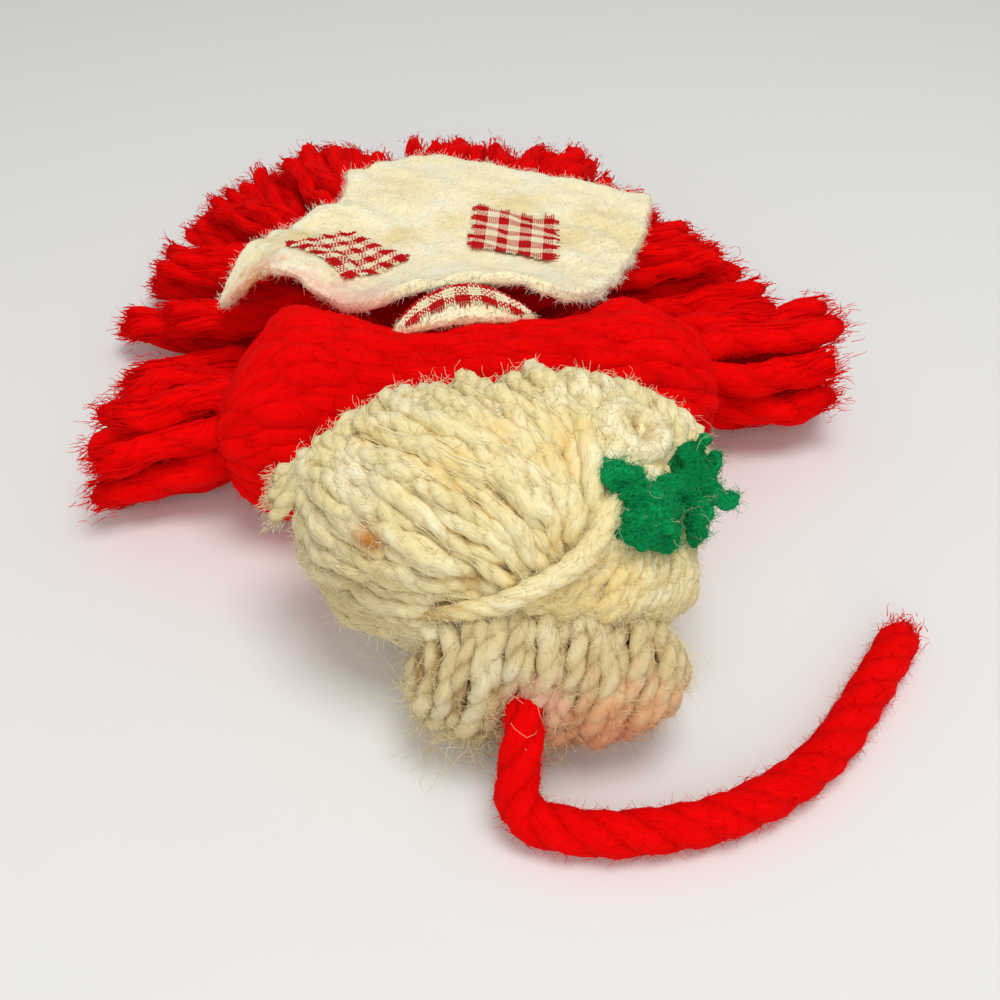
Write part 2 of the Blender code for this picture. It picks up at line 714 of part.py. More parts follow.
def bun_section(along):
    """Half depth and half height of the winding's centre line at this place along the bun."""
    full_length = (BUN_LENGTH - WOUND_YARN) / 2 * BUN_END_SHARE
    share = section_share(along / full_length, BUN_FULLNESS)
    return (BUN_DEPTH - WOUND_YARN) / 2 * share, (BUN_HEIGHT - WOUND_YARN) / 2 * share


def bun_form(grow, stretch):
    """A swelled roll a set distance outside, or inside, of the winding's centre line."""
    half_length = (BUN_LENGTH - WOUND_YARN) / 2 * BUN_END_SHARE + stretch
    half_depth = (BUN_DEPTH - WOUND_YARN) / 2 + grow
    half_height = (BUN_HEIGHT - WOUND_YARN) / 2 + grow
    return roll_form(half_length, half_depth, half_height, BUN_FULLNESS, 14, 10, bun_frame())


def winding_route():
    """The bun's yarn: turns side by side from one end to the other, with straight tails."""
    half = (BUN_LENGTH - WOUND_YARN) / 2
    count = BUN_TURNS * BUN_LOOP_POINTS
    route = []
    for index in range(count + 1):
        along = half * (2 * index / count - 1)
        angle = math.tau * index / BUN_LOOP_POINTS
        half_depth, half_height = bun_section(along)
        route.append(Vector((along, half_depth * math.cos(angle), half_height * math.sin(angle))))
    first = (route[0] - route[1]).normalized()
    last = (route[-1] - route[-2]).normalized()
    route.insert(0, route[0] + first * WOUND_YARN)
    route.append(route[-1] + last * WOUND_YARN)
    frame = bun_frame()
    return [frame @ place for place in route]


def build_bun(pivot):
    inset = WOUND_YARN / 2 + GAP
    add_mesh("bun_core", bun_form(-inset, -2 * WOUND_YARN), cream_yarn("bun_core"), pivot)
    route = winding_route()
    radii = [WOUND_YARN / 2] * len(route)
    add_tube("bun_winding", route, radii, cream_yarn("bun_winding"), pivot, rounds=1)
    gap = least_gap(route, WOUND_YARN, BUN_LOOP_POINTS * 3 // 4)
    print(f"bun_winding: least gap to itself {gap * 1000:.2f} mm")


# Holly
def build_holly(pivot, on_top):
    place, normal = on_hair(*HOLLY_KNOT_PLACE_SHARE, HOLLY_KNOT_LIFT)
    size = (HOLLY_KNOT, HOLLY_KNOT, HOLLY_KNOT_HEIGHT)
    basis = basis_from(normal.orthogonal(), normal)
    knot_form = soft_form(size, place, HOLLY_KNOT_FULLNESS, 12, 8, basis)
    knot = add_mesh("holly_knot", knot_form, green_yarn("holly_knot"), pivot)
    cut(knot, on_top)
    grown = [value + 2 * GAP for value in size]
    around = add_cutter("knot_cutter", soft_form(grown, place, HOLLY_KNOT_FULLNESS, 12, 8, basis))
    for name, ends in HOLLY_LEAF_END_SHARES.items():
        lay_on_hair(name, ends, HOLLY_LEAF_THICKNESS, HOLLY_LEAF_WIDTH, green_yarn(name), pivot,
                    [on_top, around], HOLLY_LEAF_THICKNESS * HOLLY_LEAF_LIFT_SHARE)


def build_head():
    pivot = add_pivot("neck_pivot", NECK)
    head = add_mesh("head_core", head_form(), cream_yarn("head_core"), pivot)
    cut(head, add_cutter("neck_socket_cutter", ball_form(NECK_BALL_RADIUS + SWING_GAP, NECK)))
    build_face(pivot)
    on_top = build_hair(pivot)
    build_bun(pivot)
    build_holly(pivot, on_top)
    build_cord(pivot)


def build_cord(pivot):
    """The hanging cord: from the bun's near side down to the floor and round to the right."""
    route = smooth_route(CORD_ROUTE, CORD_STEPS)
    length = sum((b - a).length for a, b in zip(route, route[1:]))
    radii = [CORD_YARN / 2] * len(route)
    add_tube("hanging_cord", route, radii, red_yarn("hanging_cord"), pivot)
    print(f"hanging_cord: {length * 1000:.1f} mm long")


# Apron
def edge_place(shares, t):
    """A place on one edge of the apron, from its first corner at 0 to its last at 1."""
    points = [(a, b, 0) for a, b in shares]
    steps = 8
    chain = smooth_route(points, steps)
    where = t * (len(chain) - 1)
    low = min(int(where), len(chain) - 2)
    return chain[low].lerp(chain[low + 1], where - low).to_2d()


def apron_place(u, v):
    """A place on the felt from its two shares: the patch between four curved edges."""
    near = edge_place(APRON_NEAR_SHARES, u)
    far = edge_place(APRON_FAR_SHARES, u)
    left = edge_place(APRON_LEFT_SHARES, v)
    right = edge_place(APRON_RIGHT_SHARES, v)
    corners = [Vector(APRON_NEAR_SHARES[0]), Vector(APRON_NEAR_SHARES[-1]),
               Vector(APRON_FAR_SHARES[0]), Vector(APRON_FAR_SHARES[-1])]
    flat = (corners[0] * (1 - u) * (1 - v) + corners[1] * u * (1 - v)
            + corners[2] * (1 - u) * v + corners[3] * u * v)
    share = near * (1 - v) + far * v + left * (1 - u) + right * u - flat
    return share.x * APRON_WIDTH, share.y * APRON_LENGTH + APRON_HINGE.y


def swell_at(x, y, place, span):
    return math.exp(-((x - place[0]) ** 2 + (y - place[1]) ** 2) / span ** 2)


def apron_height(x, y):
    """Height of the felt's underside: high at the waist, with a lobe and an arch."""
    step = WAIST_STEP * math.exp(-max(0, y - APRON_HINGE.y) / WAIST_SPAN)
    lobe_place = (LOBE_PLACE_SHARE[0] * APRON_WIDTH,
                  LOBE_PLACE_SHARE[1] * APRON_LENGTH + APRON_HINGE.y)
    lobe = LOBE_HEIGHT * swell_at(x, y, lobe_place, LOBE_SPAN)
    arch_depth = max(0, y - APRON_HINGE.y) / ARCH_SPAN
    arch = ARCH_HEIGHT * math.exp(-(x / ARCH_HALF_WIDTH) ** 4 - arch_depth ** 2)
    return APRON_FLOOR + step + lobe + arch


def add_cloth(name, bm, thickness, material, pivot):
    bmesh.ops.recalc_face_normals(bm, faces=bm.faces)
    if sum((face.normal.z for face in bm.faces)) < 0:
        bmesh.ops.reverse_faces(bm, faces=bm.faces)
    cloth = add_mesh(name, bm, material, pivot)
    solidify = cloth.modifiers.new("thickness", "SOLIDIFY")
    solidify.thickness = thickness
    solidify.offset = 1
    return cloth


def add_patch(name, size, place_share, turn, pivot):
    """A square of gingham that follows the felt it is sewn to."""
    bm = bmesh.new()
    bmesh.ops.create_grid(bm, x_segments=5, y_segments=5, size=size / 2)
    bm.transform(Matrix.Rotation(turn, 4, "Z"))
    for vert in bm.verts:
        vert.co.x += place_share[0] * APRON_WIDTH
        vert.co.y += place_share[1] * APRON_LENGTH + APRON_HINGE.y
        vert.co.z = apron_height(vert.co.x, vert.co.y) + FELT * FELT_SLOPE_SHARE + GAP
    add_cloth(name, bm, PATCH_CLOTH, gingham(name), pivot)


def build_apron():
    pivot = add_pivot("apron_hinge", APRON_HINGE)
    bm = bmesh.new()
    bmesh.ops.create_grid(bm, x_segments=18, y_segments=12, size=0.5)
    for vert in bm.verts:
        x, y = apron_place(vert.co.x + 0.5, vert.co.y + 0.5)
        vert.co = (x, y, apron_height(x, y))
    add_cloth("apron_felt", bm, FELT, cream_felt("apron_felt"), pivot)
    add_patch("patch_right", PATCH_RIGHT_SIZE, PATCH_RIGHT_PLACE_SHARE, PATCH_RIGHT_TURN, pivot)
    add_patch("patch_left", PATCH_LEFT_SIZE, PATCH_LEFT_PLACE_SHARE, PATCH_LEFT_TURN, pivot)


def bib_height(x):
    return chest_top(x, BIB_SETBACK) + GAP


def build_bib():
    """A strip of felt on the chest, under the apron's arch, with its own strip of gingham."""
    for name, width, length, setback, lift, thickness, material in (
        ("apron_bib", BIB_WIDTH, BIB_LENGTH, BIB_SETBACK, 0, FELT, cream_felt),
        ("bib_patch", BIB_PATCH_WIDTH, BIB_PATCH_LENGTH,
         BIB_SETBACK + BIB_LENGTH - BIB_PATCH_LENGTH, FELT + GAP, PATCH_CLOTH, gingham),
    ):
        bm = bmesh.new()
        bmesh.ops.create_grid(bm, x_segments=10, y_segments=2, size=0.5)
        for vert in bm.verts:
            x = vert.co.x * width
            round_off = 1 - BIB_ROUND_SHARE * (2 * vert.co.x) ** 4
            y = setback + (vert.co.y * round_off + 0.5) * length
            vert.co = (x, y, bib_height(x) + lift)
        add_cloth(name, bm, thickness, material(name), None)


clear_scene()
parts = add_collection("yarn_doll")
cutters = add_collection("cutters")
cutter_material = make_material("cutter", (0.5, 0.5, 0.5), 0.5)
build_torso()
build_skirt()
build_arm("arm_left", -1, ARM_DROOP_LEFT)
build_arm("arm_right", 1, ARM_DROOP_RIGHT)
build_head()
build_bib()
build_apron()
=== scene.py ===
# %% [markdown]
# A yarn doll on its back. The real doll is tied from thick red yarn and thinner cream yarn, with a
# felt apron, gingham patches and a sprig of felted green yarn. The frame that is loaded first holds
# plain solids at the right size and place, and the joints. Everything soft is modelled here around
# them: each strand of yarn is built the way it is spun, as plies that turn round each other, because
# that twist is what the eye reads as yarn.

# %% Load the frame
import math

import bmesh
import bpy
import numpy as np
from mathutils import Matrix, Vector
from mathutils.bvhtree import BVHTree
from mathutils.kdtree import KDTree


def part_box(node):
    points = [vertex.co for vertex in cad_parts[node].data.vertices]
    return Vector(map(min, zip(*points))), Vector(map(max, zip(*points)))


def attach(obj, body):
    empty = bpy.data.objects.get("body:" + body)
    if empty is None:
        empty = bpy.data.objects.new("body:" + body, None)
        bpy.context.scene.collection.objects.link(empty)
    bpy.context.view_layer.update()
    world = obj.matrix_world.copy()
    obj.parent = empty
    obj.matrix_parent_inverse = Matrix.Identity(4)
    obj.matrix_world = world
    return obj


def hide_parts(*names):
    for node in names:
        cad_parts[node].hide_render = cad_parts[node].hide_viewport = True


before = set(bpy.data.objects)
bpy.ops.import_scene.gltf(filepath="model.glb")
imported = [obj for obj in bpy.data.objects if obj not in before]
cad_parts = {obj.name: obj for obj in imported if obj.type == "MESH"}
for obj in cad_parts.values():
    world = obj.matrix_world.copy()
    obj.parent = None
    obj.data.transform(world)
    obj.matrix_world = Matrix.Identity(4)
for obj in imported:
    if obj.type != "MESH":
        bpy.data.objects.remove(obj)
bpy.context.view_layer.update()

# %% [markdown]
# The camera stands above the doll's head and looks down along its body by 42 degrees, as the
# photograph does. A lens of 41.4 mm on a 36 mm sensor gives the photograph's field of view.

# %% Camera
CAMERA_PLACE = (-0.0148, -0.10155, 0.0910)
CAMERA_DOWN = math.radians(42.0)
CAMERA_TURN = math.radians(-10.0)
CAMERA_LENS = 41.4


def put_in_scene(name, data):
    """A new object in the scene that holds this data."""
    made = bpy.data.objects.new(name, data)
    bpy.context.scene.collection.objects.link(made)
    return made


camera_data = bpy.data.cameras.new("camera")
camera_data.lens = CAMERA_LENS
camera_data.clip_start = 0.001
camera = put_in_scene("camera", camera_data)
camera.location = CAMERA_PLACE
camera.rotation_euler = (math.pi / 2 - CAMERA_DOWN, 0, CAMERA_TURN)
bpy.context.scene.camera = camera
print("camera at", CAMERA_PLACE)

# %% [markdown]
# All yarn follows routes. A route is a smooth curve through a few places, read again at even
# steps, because a ply that winds round it needs evenly spaced points. At each point the route has
# its own direction and two directions square to it, carried along without spinning.


# %% Routes
SPAN_STEPS = 12
WANDER_WAVES = (1.0, 2.3)


def unit(vectors):
    """The vectors at length 1."""
    return vectors / np.maximum(np.linalg.norm(vectors, axis=-1, keepdims=True), 1e-12)


def reach_of(route):
    """Length of the route from its start to each of its points."""
    return np.append(0, np.linalg.norm(np.diff(route, axis=0), axis=1).cumsum())


def evenly(points, step):
    """The same route with points at even steps."""
    reach = reach_of(points)
    places = np.linspace(0, reach[-1], max(4, round(reach[-1] / step) + 1))
    return np.column_stack([np.interp(places, reach, points[:, axis]) for axis in range(3)])


def smooth(points, step):
    """Points at even steps along one smooth curve through the given ones."""
    points = np.array(points, float)
    chain = np.vstack((2 * points[0] - points[1], points, 2 * points[-1] - points[-2]))
    t = np.linspace(0, 1, SPAN_STEPS + 1)[:-1, None]
    runs = []
    for a, b, c, d in zip(chain, chain[1:], chain[2:], chain[3:]):
        bend = 2 * a - 5 * b + 4 * c - d
        twist = 3 * b - a - 3 * c + d
        runs.append(b + ((c - a) * t + bend * t ** 2 + twist * t ** 3) / 2)
    return evenly(np.vstack((*runs, points[-1:])), step)


def frames(route):
    """The route's direction at each point, and two directions square to it."""
    along = unit(np.gradient(route, axis=0))
    side = np.zeros_like(along)
    start = np.cross(along[0], (0.0, 0.0, 1.0))
    if np.linalg.norm(start) < 0.1:
        start = np.cross(along[0], (1.0, 0.0, 0.0))
    side[0] = unit(start)
    for index in range(1, len(route)):
        kept = side[index - 1] - along[index] * (side[index - 1] @ along[index])
        side[index] = unit(kept)
    return along, side, np.cross(along, side)


def wander(route, amount, wave, chance):
    """The route pushed a little to all sides, in slow random waves."""
    reach = reach_of(route)
    moved = route.copy()
    for axis in range(3):
        for times in WANDER_WAVES:
            phase = chance.uniform(0, math.tau)
            moved[:, axis] += amount / times * np.sin(math.tau * reach * times / wave + phase)
    return moved


# %% [markdown]
# Round lines are the building block of yarn, thread and fluff. One curve object takes many lines
# with a thickness at each point, Blender gives them their round surface and UV map, and the result
# is kept as a plain mesh, so that it can ride on the frame and be exported.


# %% Lines into meshes
SEAM_GAP = 1e-7


def mesh_of(bm, name):
    """A new mesh from a bmesh, which is freed."""
    mesh = bpy.data.meshes.new(name)
    bm.to_mesh(mesh)
    bm.free()
    return mesh


def finished_mesh(item):
    """What an object's curve or modifiers make, as a plain mesh. The object is removed."""
    bpy.context.view_layer.update()
    graph = bpy.context.evaluated_depsgraph_get()
    mesh = bpy.data.meshes.new_from_object(item.evaluated_get(graph))
    bpy.data.objects.remove(item)
    return mesh


def close_seams(mesh):
    """Merge the points where the surface round a line meets itself."""
    bm = bmesh.new()
    bm.from_mesh(mesh)
    bmesh.ops.remove_doubles(bm, verts=bm.verts, dist=SEAM_GAP)
    bm.to_mesh(mesh)
    bm.free()


def fibre_profile():
    """A triangle of radius 1, the cross-section of thin fibres."""
    triangle = bpy.data.curves.new("fibre_profile", "CURVE")
    triangle.dimensions = "2D"
    spline = triangle.splines.new("POLY")
    spline.points.add(2)
    for point, turn in zip(spline.points, (0, 2, 1)):
        point.co = (math.cos(math.tau * turn / 3), math.sin(math.tau * turn / 3), 0, 1)
    spline.use_cyclic_u = True
    return put_in_scene("fibre_profile", triangle)


def lines_mesh(name, lines, rounds=2):
    """One mesh from many lines, each a pair of points and radii; rounds 0 gives three-sided fibres."""
    curve = bpy.data.curves.new(name, "CURVE")
    curve.dimensions = "3D"
    profile = None
    if rounds:
        curve.bevel_depth = 1
        curve.bevel_resolution = rounds
    else:
        profile = fibre_profile()
        curve.bevel_mode = "OBJECT"
        curve.bevel_object = profile
    curve.use_fill_caps = True
    for points, radii in lines:
        spline = curve.splines.new("POLY")
        spline.points.add(len(points) - 1)
        spline.points.foreach_set("co", np.column_stack((points, np.ones(len(points)))).ravel())
        spline.points.foreach_set("radius", np.broadcast_to(radii, len(points)).astype(float))
    mesh = finished_mesh(put_in_scene(name, curve))
    if profile:
        bpy.data.objects.remove(profile)
    close_seams(mesh)
    return mesh


def vertex_arrays(mesh):
    """Places and normals of a mesh's points as arrays."""
    places = np.empty(len(mesh.vertices) * 3)
    normals = np.empty(len(mesh.vertices) * 3)
    mesh.vertices.foreach_get("co", places)
    mesh.vertex_normals.foreach_get("vector", normals)
    return places.reshape(-1, 3), normals.reshape(-1, 3)


def ripple(places, size, chance, waves=16):
    """A smooth random value at each place, mostly between -1 and 1."""
    value = np.zeros(len(places))
    for _ in range(waves):
        direction = unit(chance.normal(size=3)) * math.tau / (size * chance.uniform(0.7, 1.5))
        value += np.sin(places @ direction + chance.uniform(0, math.tau))
    return value / math.sqrt(waves)


def with_places(mesh, places):
    """The mesh with its points moved to these places."""
    mesh.vertices.foreach_set("co", places.ravel())
    mesh.update()
    return mesh


def roughen(mesh, amount, size, chance):
    """Small hollows and bumps along the normals, as nothing soft is perfectly even."""
    places, normals = vertex_arrays(mesh)
    return with_places(mesh, places + normals * (ripple(places, size, chance) * amount)[:, None])


def add_piece(name, mesh, material, body, slot, *nodes):
    """A finished piece that rides on a body and stands for the named nodes."""
    mesh.materials.clear()
    mesh.materials.append(material)
    mesh.shade_smooth()
    piece = put_in_scene(name, mesh)
    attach(piece, body)
    if nodes:
        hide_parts(*nodes)
    print(f"{name}: {sum(len(face.vertices) - 2 for face in mesh.polygons)} triangles on {body}")
    return piece


def add_fluff(name, fibres, material, body, slot):
    """Thin three-sided fibres as one piece."""
    return add_piece(name, lines_mesh(name, fibres, 0), material, body, slot)


# %% [markdown]
# A strand of yarn is two or three plies that turn round each other. Each ply is a helix round the
# strand's route, so the strand gets its slanted bumps from real shape. At a cut end the plies come
# apart and thin out. Fluff is made of short thin lines that start on a piece's surface and curl.


# %% Strands and fluff
FIRM_SHARES = (0.50, 0.56)
LOFTY_SHARES = (0.26, 0.77)
FRAY_LENGTH = 0.0030
END_SHARE, END_GROWTH = 0.55, 0.45
LOOSE_THINNING = 0.35
POINTS_PER_KNOT = 9


def strand(route, radius, count=2, pitch=0.0045, phase=0.0, fray=0.0, loft=0.6):
    """The plies of one strand, as lines: loft 0 has deep grooves between them and 1 hardly any."""
    offset_share = FIRM_SHARES[0] * (1 - loft) + LOFTY_SHARES[0] * loft
    ply_share = FIRM_SHARES[1] * (1 - loft) + LOFTY_SHARES[1] * loft
    along, side, up = frames(route)
    reach = reach_of(route)
    radius = np.broadcast_to(radius, len(route)).astype(float)
    loose = np.clip(1 - (reach[-1] - reach) / FRAY_LENGTH, 0, 1) ** 1.5 * fray
    to_end = np.minimum(reach, reach[-1] - reach)
    radius = radius * (END_SHARE + END_GROWTH * np.sqrt(np.clip(to_end / radius.mean(), 0, 1)))
    lines = []
    for number in range(count):
        turn = (phase + math.tau * (reach / pitch + number / count))[:, None]
        offset = (radius * offset_share * (1 + loose))[:, None]
        centre = route + offset * (np.cos(turn) * side + np.sin(turn) * up)
        lines.append((centre, radius * ply_share * (1 - LOOSE_THINNING * np.clip(loose, 0, 1))))
    return lines


def uneven(count, amount, chance):
    """Slow random changes of thickness along a strand."""
    knots = chance.uniform(1 - amount, 1 + amount, max(4, count // POINTS_PER_KNOT))
    return np.interp(np.linspace(0, 1, count), np.linspace(0, 1, len(knots)), knots)


# %% [markdown]
# Fluff is what makes yarn look soft. It comes in three kinds: short fibres that leave a surface at
# random, a brush of them at a cut end, and long ones that are combed along the outside of a strand.

# %% Fluff
FIBRE = 0.000026
FIBRE_TAPER = (1.15, 0.5)
FIBRE_FLOOR = 0.00012
FLUFF_LENGTHS = (0.35, 1.35)
CUT_FIBRE = 0.00005
COMBED_STARTS = (0.05, 0.6)
COMBED_STEP = 0.0028
COMBED_TURN = 1.1
COMBED_OUT, COMBED_SWELL, COMBED_WAVE = 0.94, 0.12, 0.0035
COMBED_TAPER = (0.8, 1.1)
TIP_STRAY = 0.0002


def fibre_lines(starts, headings, lengths, curl, chance, thick=FIBRE, pieces=3):
    """Curling fibres as lines of a few points, bent at random and kept above the surface below."""
    steps = lengths[:, None] / pieces
    points = [starts]
    for _ in range(pieces):
        points.append(points[-1] + headings * steps)
        headings = unit(headings + chance.normal(0, curl, headings.shape))
    places = np.stack(points, axis=1)
    places[..., 2] = np.maximum(places[..., 2], FIBRE_FLOOR)
    taper = np.linspace(*FIBRE_TAPER, pieces + 1) * thick
    return [(line, taper) for line in places]


def fluff(piece, count, length, lift, chance, curl=0.5, thick=FIBRE, pieces=3, keep=None):
    """Fibres that leave the surface of a piece: lift 0 lies flat and 1 stands up."""
    places, normals = vertex_arrays(piece.data)
    if keep is not None:
        chosen = keep(places, normals)
        places, normals = places[chosen], normals[chosen]
    pick = chance.integers(len(places), size=count)
    normal = normals[pick]
    flat = unit(np.cross(normal, chance.normal(size=(count, 3))))
    heading = unit(flat * (1 - lift) + normal * lift)
    lengths = length * chance.uniform(*FLUFF_LENGTHS, count)
    return fibre_lines(places[pick], heading, lengths, curl, chance, thick, pieces)


def cut_end(place, heading, spread, count, length, chance, thick=CUT_FIBRE):
    """A brush of fibres at the cut end of a strand."""
    starts = np.array(place) + chance.normal(0, spread / 2, (count, 3))
    headings = unit(np.array(heading) + chance.normal(0, 0.30, (count, 3)))
    return fibre_lines(starts, headings, length * chance.uniform(0.4, 1.2, count), 0.22, chance, thick)


def combed(line, radius, count, chance, thick, over):
    """Long fibres laid along the outside of a strand, a little past its cut end."""
    along, side, up = frames(line)
    reach = reach_of(line)
    radius = np.broadcast_to(radius, len(line)).astype(float)
    lines = []
    for _ in range(count):
        first = chance.uniform(*COMBED_STARTS) * reach[-1]
        spots = np.linspace(first, reach[-1], max(5, round((reach[-1] - first) / COMBED_STEP)))
        facing = chance.uniform(0, math.tau)
        turn = (facing + np.linspace(0, chance.normal(0, COMBED_TURN), len(spots)))[:, None]
        swell = COMBED_OUT + COMBED_SWELL * np.sin(spots / COMBED_WAVE + chance.uniform(0, 6))
        out = np.interp(spots, reach, radius) * swell
        centre, across, above = (
            np.column_stack([np.interp(spots, reach, values[:, axis]) for axis in range(3)])
            for values in (line, side, up)
        )
        points = centre + (np.cos(turn) * across + np.sin(turn) * above) * out[:, None]
        tip = points[-1] + unit(points[-1] - points[-2]) * over * chance.uniform(0.2, 1.0)
        points = np.vstack((points, tip + chance.normal(0, TIP_STRAY, 3)))
        points[:, 2] = np.maximum(points[:, 2], thick)
        lines.append((points, thick * np.append(np.linspace(*COMBED_TAPER, len(spots)), 0.5)))
    return lines


def outside_of(centre):
    """A test that keeps the points whose surface faces away from a centre."""
    return lambda places, normals: ((places - np.array(centre)) * normals).sum(axis=1) > 0


# %% [markdown]
# Light yarn shows its hollows, and here they get painted shade: the material paints them darker and
# warmer than the tops, more than the shallow modelled grooves shade themselves. So each point of a
# cream piece keeps a number for how far out it lies, as an attribute that the material reads.

# %% How far out a point lies
GROOVE_LEVEL, GROOVE_TO_TOP = 0.60, 0.36
CHINK_LEVEL = 0.55


def mark_rise(mesh, routes, radius, height=None):
    """Keep for the material's painted shade how far out each point lies: 0 in a hollow, 1 at the top.

    Grooves between plies are close to the strand's route. Chinks between strands are low on the
    form that the strands lie on, which height gives for an array of places.
    """
    points = np.vstack(routes)
    tree = KDTree(len(points))
    for number, point in enumerate(points):
        tree.insert(point, number)
    tree.balance()
    places, normals = vertex_arrays(mesh)
    away = np.array([tree.find(place)[2] for place in places])
    rise = np.clip((away / radius - GROOVE_LEVEL) / GROOVE_TO_TOP, 0, 1)
    if height is not None:
        rise *= np.clip(height(places) / radius + CHINK_LEVEL, 0, 1)
    mesh.attributes.new("rise", "FLOAT", "POINT").data.foreach_set("value", rise.astype(np.float32))
    return mesh


# %% [markdown]
# The finishes share a few effects, each built once as a node group: streaks that run along a ply
# like combed fibres, a mottle of three colours with a fourth for painted shade in hollows, and a tint
# at a place, which carries real stains and also painted shade and painted bounce light.
# The groups put out only values and colours, and each material keeps its own shader. A few helpers
# add and link the nodes that they all need.


# %% Node helpers
def add_node(tree, kind, **settings):
    """A new node. Its settings come first, because they can change its sockets."""
    made = tree.nodes.new(kind)
    for name, value in settings.items():
        setattr(made, name, value)
    return made


def set_inputs(node, **values):
    """The node with values on its own sockets, whose names are written with _ for a space."""
    for name, value in values.items():
        node.inputs[name.replace("_", " ")].default_value = value
    return node


def add_noise(tree, places, **values):
    """A noise that is read at the given places."""
    noise = set_inputs(add_node(tree, "ShaderNodeTexNoise"), **values)
    tree.links.new(places, noise.inputs["Vector"])
    return noise


def reckoned(tree, kind, operation, first, second):
    """What a node of some kind of maths puts out for two values."""
    made = add_node(tree, kind, operation=operation)
    tree.links.new(first, made.inputs[0])
    tree.links.new(second, made.inputs[1])
    return made.outputs


def faded(tree, value, start, end, **settings):
    """0 where the value is at the start, and 1 where it is at the end."""
    fade = set_inputs(add_node(tree, "ShaderNodeMapRange", **settings), From_Min=start, From_Max=end)
    tree.links.new(value, fade.inputs["Value"])
    return fade.outputs["Result"]


def mixed(tree, amount, under, over):
    """One colour laid over another by an amount."""
    mix = add_node(tree, "ShaderNodeMix", data_type="RGBA")
    for socket, source in (("Factor", amount), ("A", under), ("B", over)):
        tree.links.new(source, mix.inputs[socket])
    return mix.outputs["Result"]


def new_group(name, inputs, outputs):
    """An empty group with its sockets, and the two nodes that stand for them inside."""
    group = bpy.data.node_groups.new(name, "ShaderNodeTree")
    for socket, kind, value in inputs:
        made = group.interface.new_socket(socket, in_out="INPUT", socket_type=kind)
        made.default_value = value
    for socket, kind in outputs:
        group.interface.new_socket(socket, in_out="OUTPUT", socket_type=kind)
    return group, add_node(group, "NodeGroupInput"), add_node(group, "NodeGroupOutput")


# %% [markdown]
# Streaks are read from a ply's UV map, which runs along it, so they follow each turn of the ply.
# Patches and stains are read from Object coordinates, because they lie on the piece as a whole and
# go on from one strand to the next.

# %% Node groups
LIGHT_FADE = (0.45, 0.75)
DEEP_FADE = (0.50, 0.30)
HOLLOW_FADE = (0.90, 0.0)
SPOT_FADE = (1.5, 0.6)


def streaks_group():
    """Fibres combed along a ply, read from the UV map: across it fine, along it long."""
    group, given, put = new_group(
        "fibre streaks",
        [("Across", "NodeSocketFloat", 9.0), ("Along", "NodeSocketFloat", 14.0)],
        [("Streak", "NodeSocketFloat")],
    )
    places = add_node(group, "ShaderNodeTexCoord").outputs["UV"]
    scale = add_node(group, "ShaderNodeCombineXYZ")
    group.links.new(given.outputs["Along"], scale.inputs["Y"])
    group.links.new(given.outputs["Across"], scale.inputs["X"])
    stretched = reckoned(group, "ShaderNodeVectorMath", "MULTIPLY", places, scale.outputs["Vector"])
    streak = add_noise(group, stretched["Vector"], Scale=1.0, Detail=4.0, Roughness=0.62, Distortion=0.35)
    group.links.new(streak.outputs["Fac"], put.inputs["Streak"])
    return group


def mottle_group():
    """Three colours in soft patches of a given size, and a fourth, painted shade, where the surface lies low."""
    group, given, put = new_group(
        "mottle",
        [("Main", "NodeSocketColor", (0.8, 0.8, 0.8, 1)), ("Light", "NodeSocketColor", (1, 1, 1, 1)),
         ("Deep", "NodeSocketColor", (0.5, 0.5, 0.5, 1)), ("Hollow", "NodeSocketColor", (0.3, 0.2, 0.1, 1)),
         ("Scale", "NodeSocketFloat", 300.0), ("Streak", "NodeSocketFloat", 0.5),
         ("Rise", "NodeSocketFloat", 1.0)],
        [("Color", "NodeSocketColor")],
    )
    places = add_node(group, "ShaderNodeTexCoord").outputs["Object"]
    patch = add_noise(group, places, Detail=3.0)
    group.links.new(given.outputs["Scale"], patch.inputs["Scale"])
    lighter = faded(group, patch.outputs["Fac"], *LIGHT_FADE)
    deeper = faded(group, given.outputs["Streak"], *DEEP_FADE)
    lower = faded(group, given.outputs["Rise"], *HOLLOW_FADE, interpolation_type="SMOOTHSTEP")
    tone = mixed(group, lighter, given.outputs["Main"], given.outputs["Light"])
    tone = mixed(group, deeper, tone, given.outputs["Deep"])
    tone = mixed(group, lower, tone, given.outputs["Hollow"])
    group.links.new(tone, put.inputs["Color"])
    return group


# A tint at a place carries real stains, and also painted shade and painted bounce light.
def tint_spot_group():
    """A colour that fades in round one place, with an uneven edge."""
    group, given, put = new_group(
        "tint_spot",
        [("Under", "NodeSocketColor", (1, 1, 1, 1)), ("Stain", "NodeSocketColor", (1, 0.5, 0.3, 1)),
         ("Place", "NodeSocketVector", (0, 0, 0)), ("Radius", "NodeSocketFloat", 0.004),
         ("Strength", "NodeSocketFloat", 0.7)],
        [("Color", "NodeSocketColor")],
    )
    places = add_node(group, "ShaderNodeTexCoord").outputs["Object"]
    away = reckoned(group, "ShaderNodeVectorMath", "DISTANCE", places, given.outputs["Place"])
    share = reckoned(group, "ShaderNodeMath", "DIVIDE", away["Value"], given.outputs["Radius"])
    ragged = add_noise(group, places, Scale=700.0)
    edge = reckoned(group, "ShaderNodeMath", "ADD", share["Value"], ragged.outputs["Fac"])
    fade = faded(group, edge["Value"], *SPOT_FADE, interpolation_type="SMOOTHSTEP")
    amount = reckoned(group, "ShaderNodeMath", "MULTIPLY", fade, given.outputs["Strength"])
    tone = mixed(group, amount["Value"], given.outputs["Under"], given.outputs["Stain"])
    group.links.new(tone, put.inputs["Color"])
    return group


streaks = streaks_group()
mottle = mottle_group()
tint_spot = tint_spot_group()
print("node groups:", streaks.name, mottle.name, tint_spot.name)
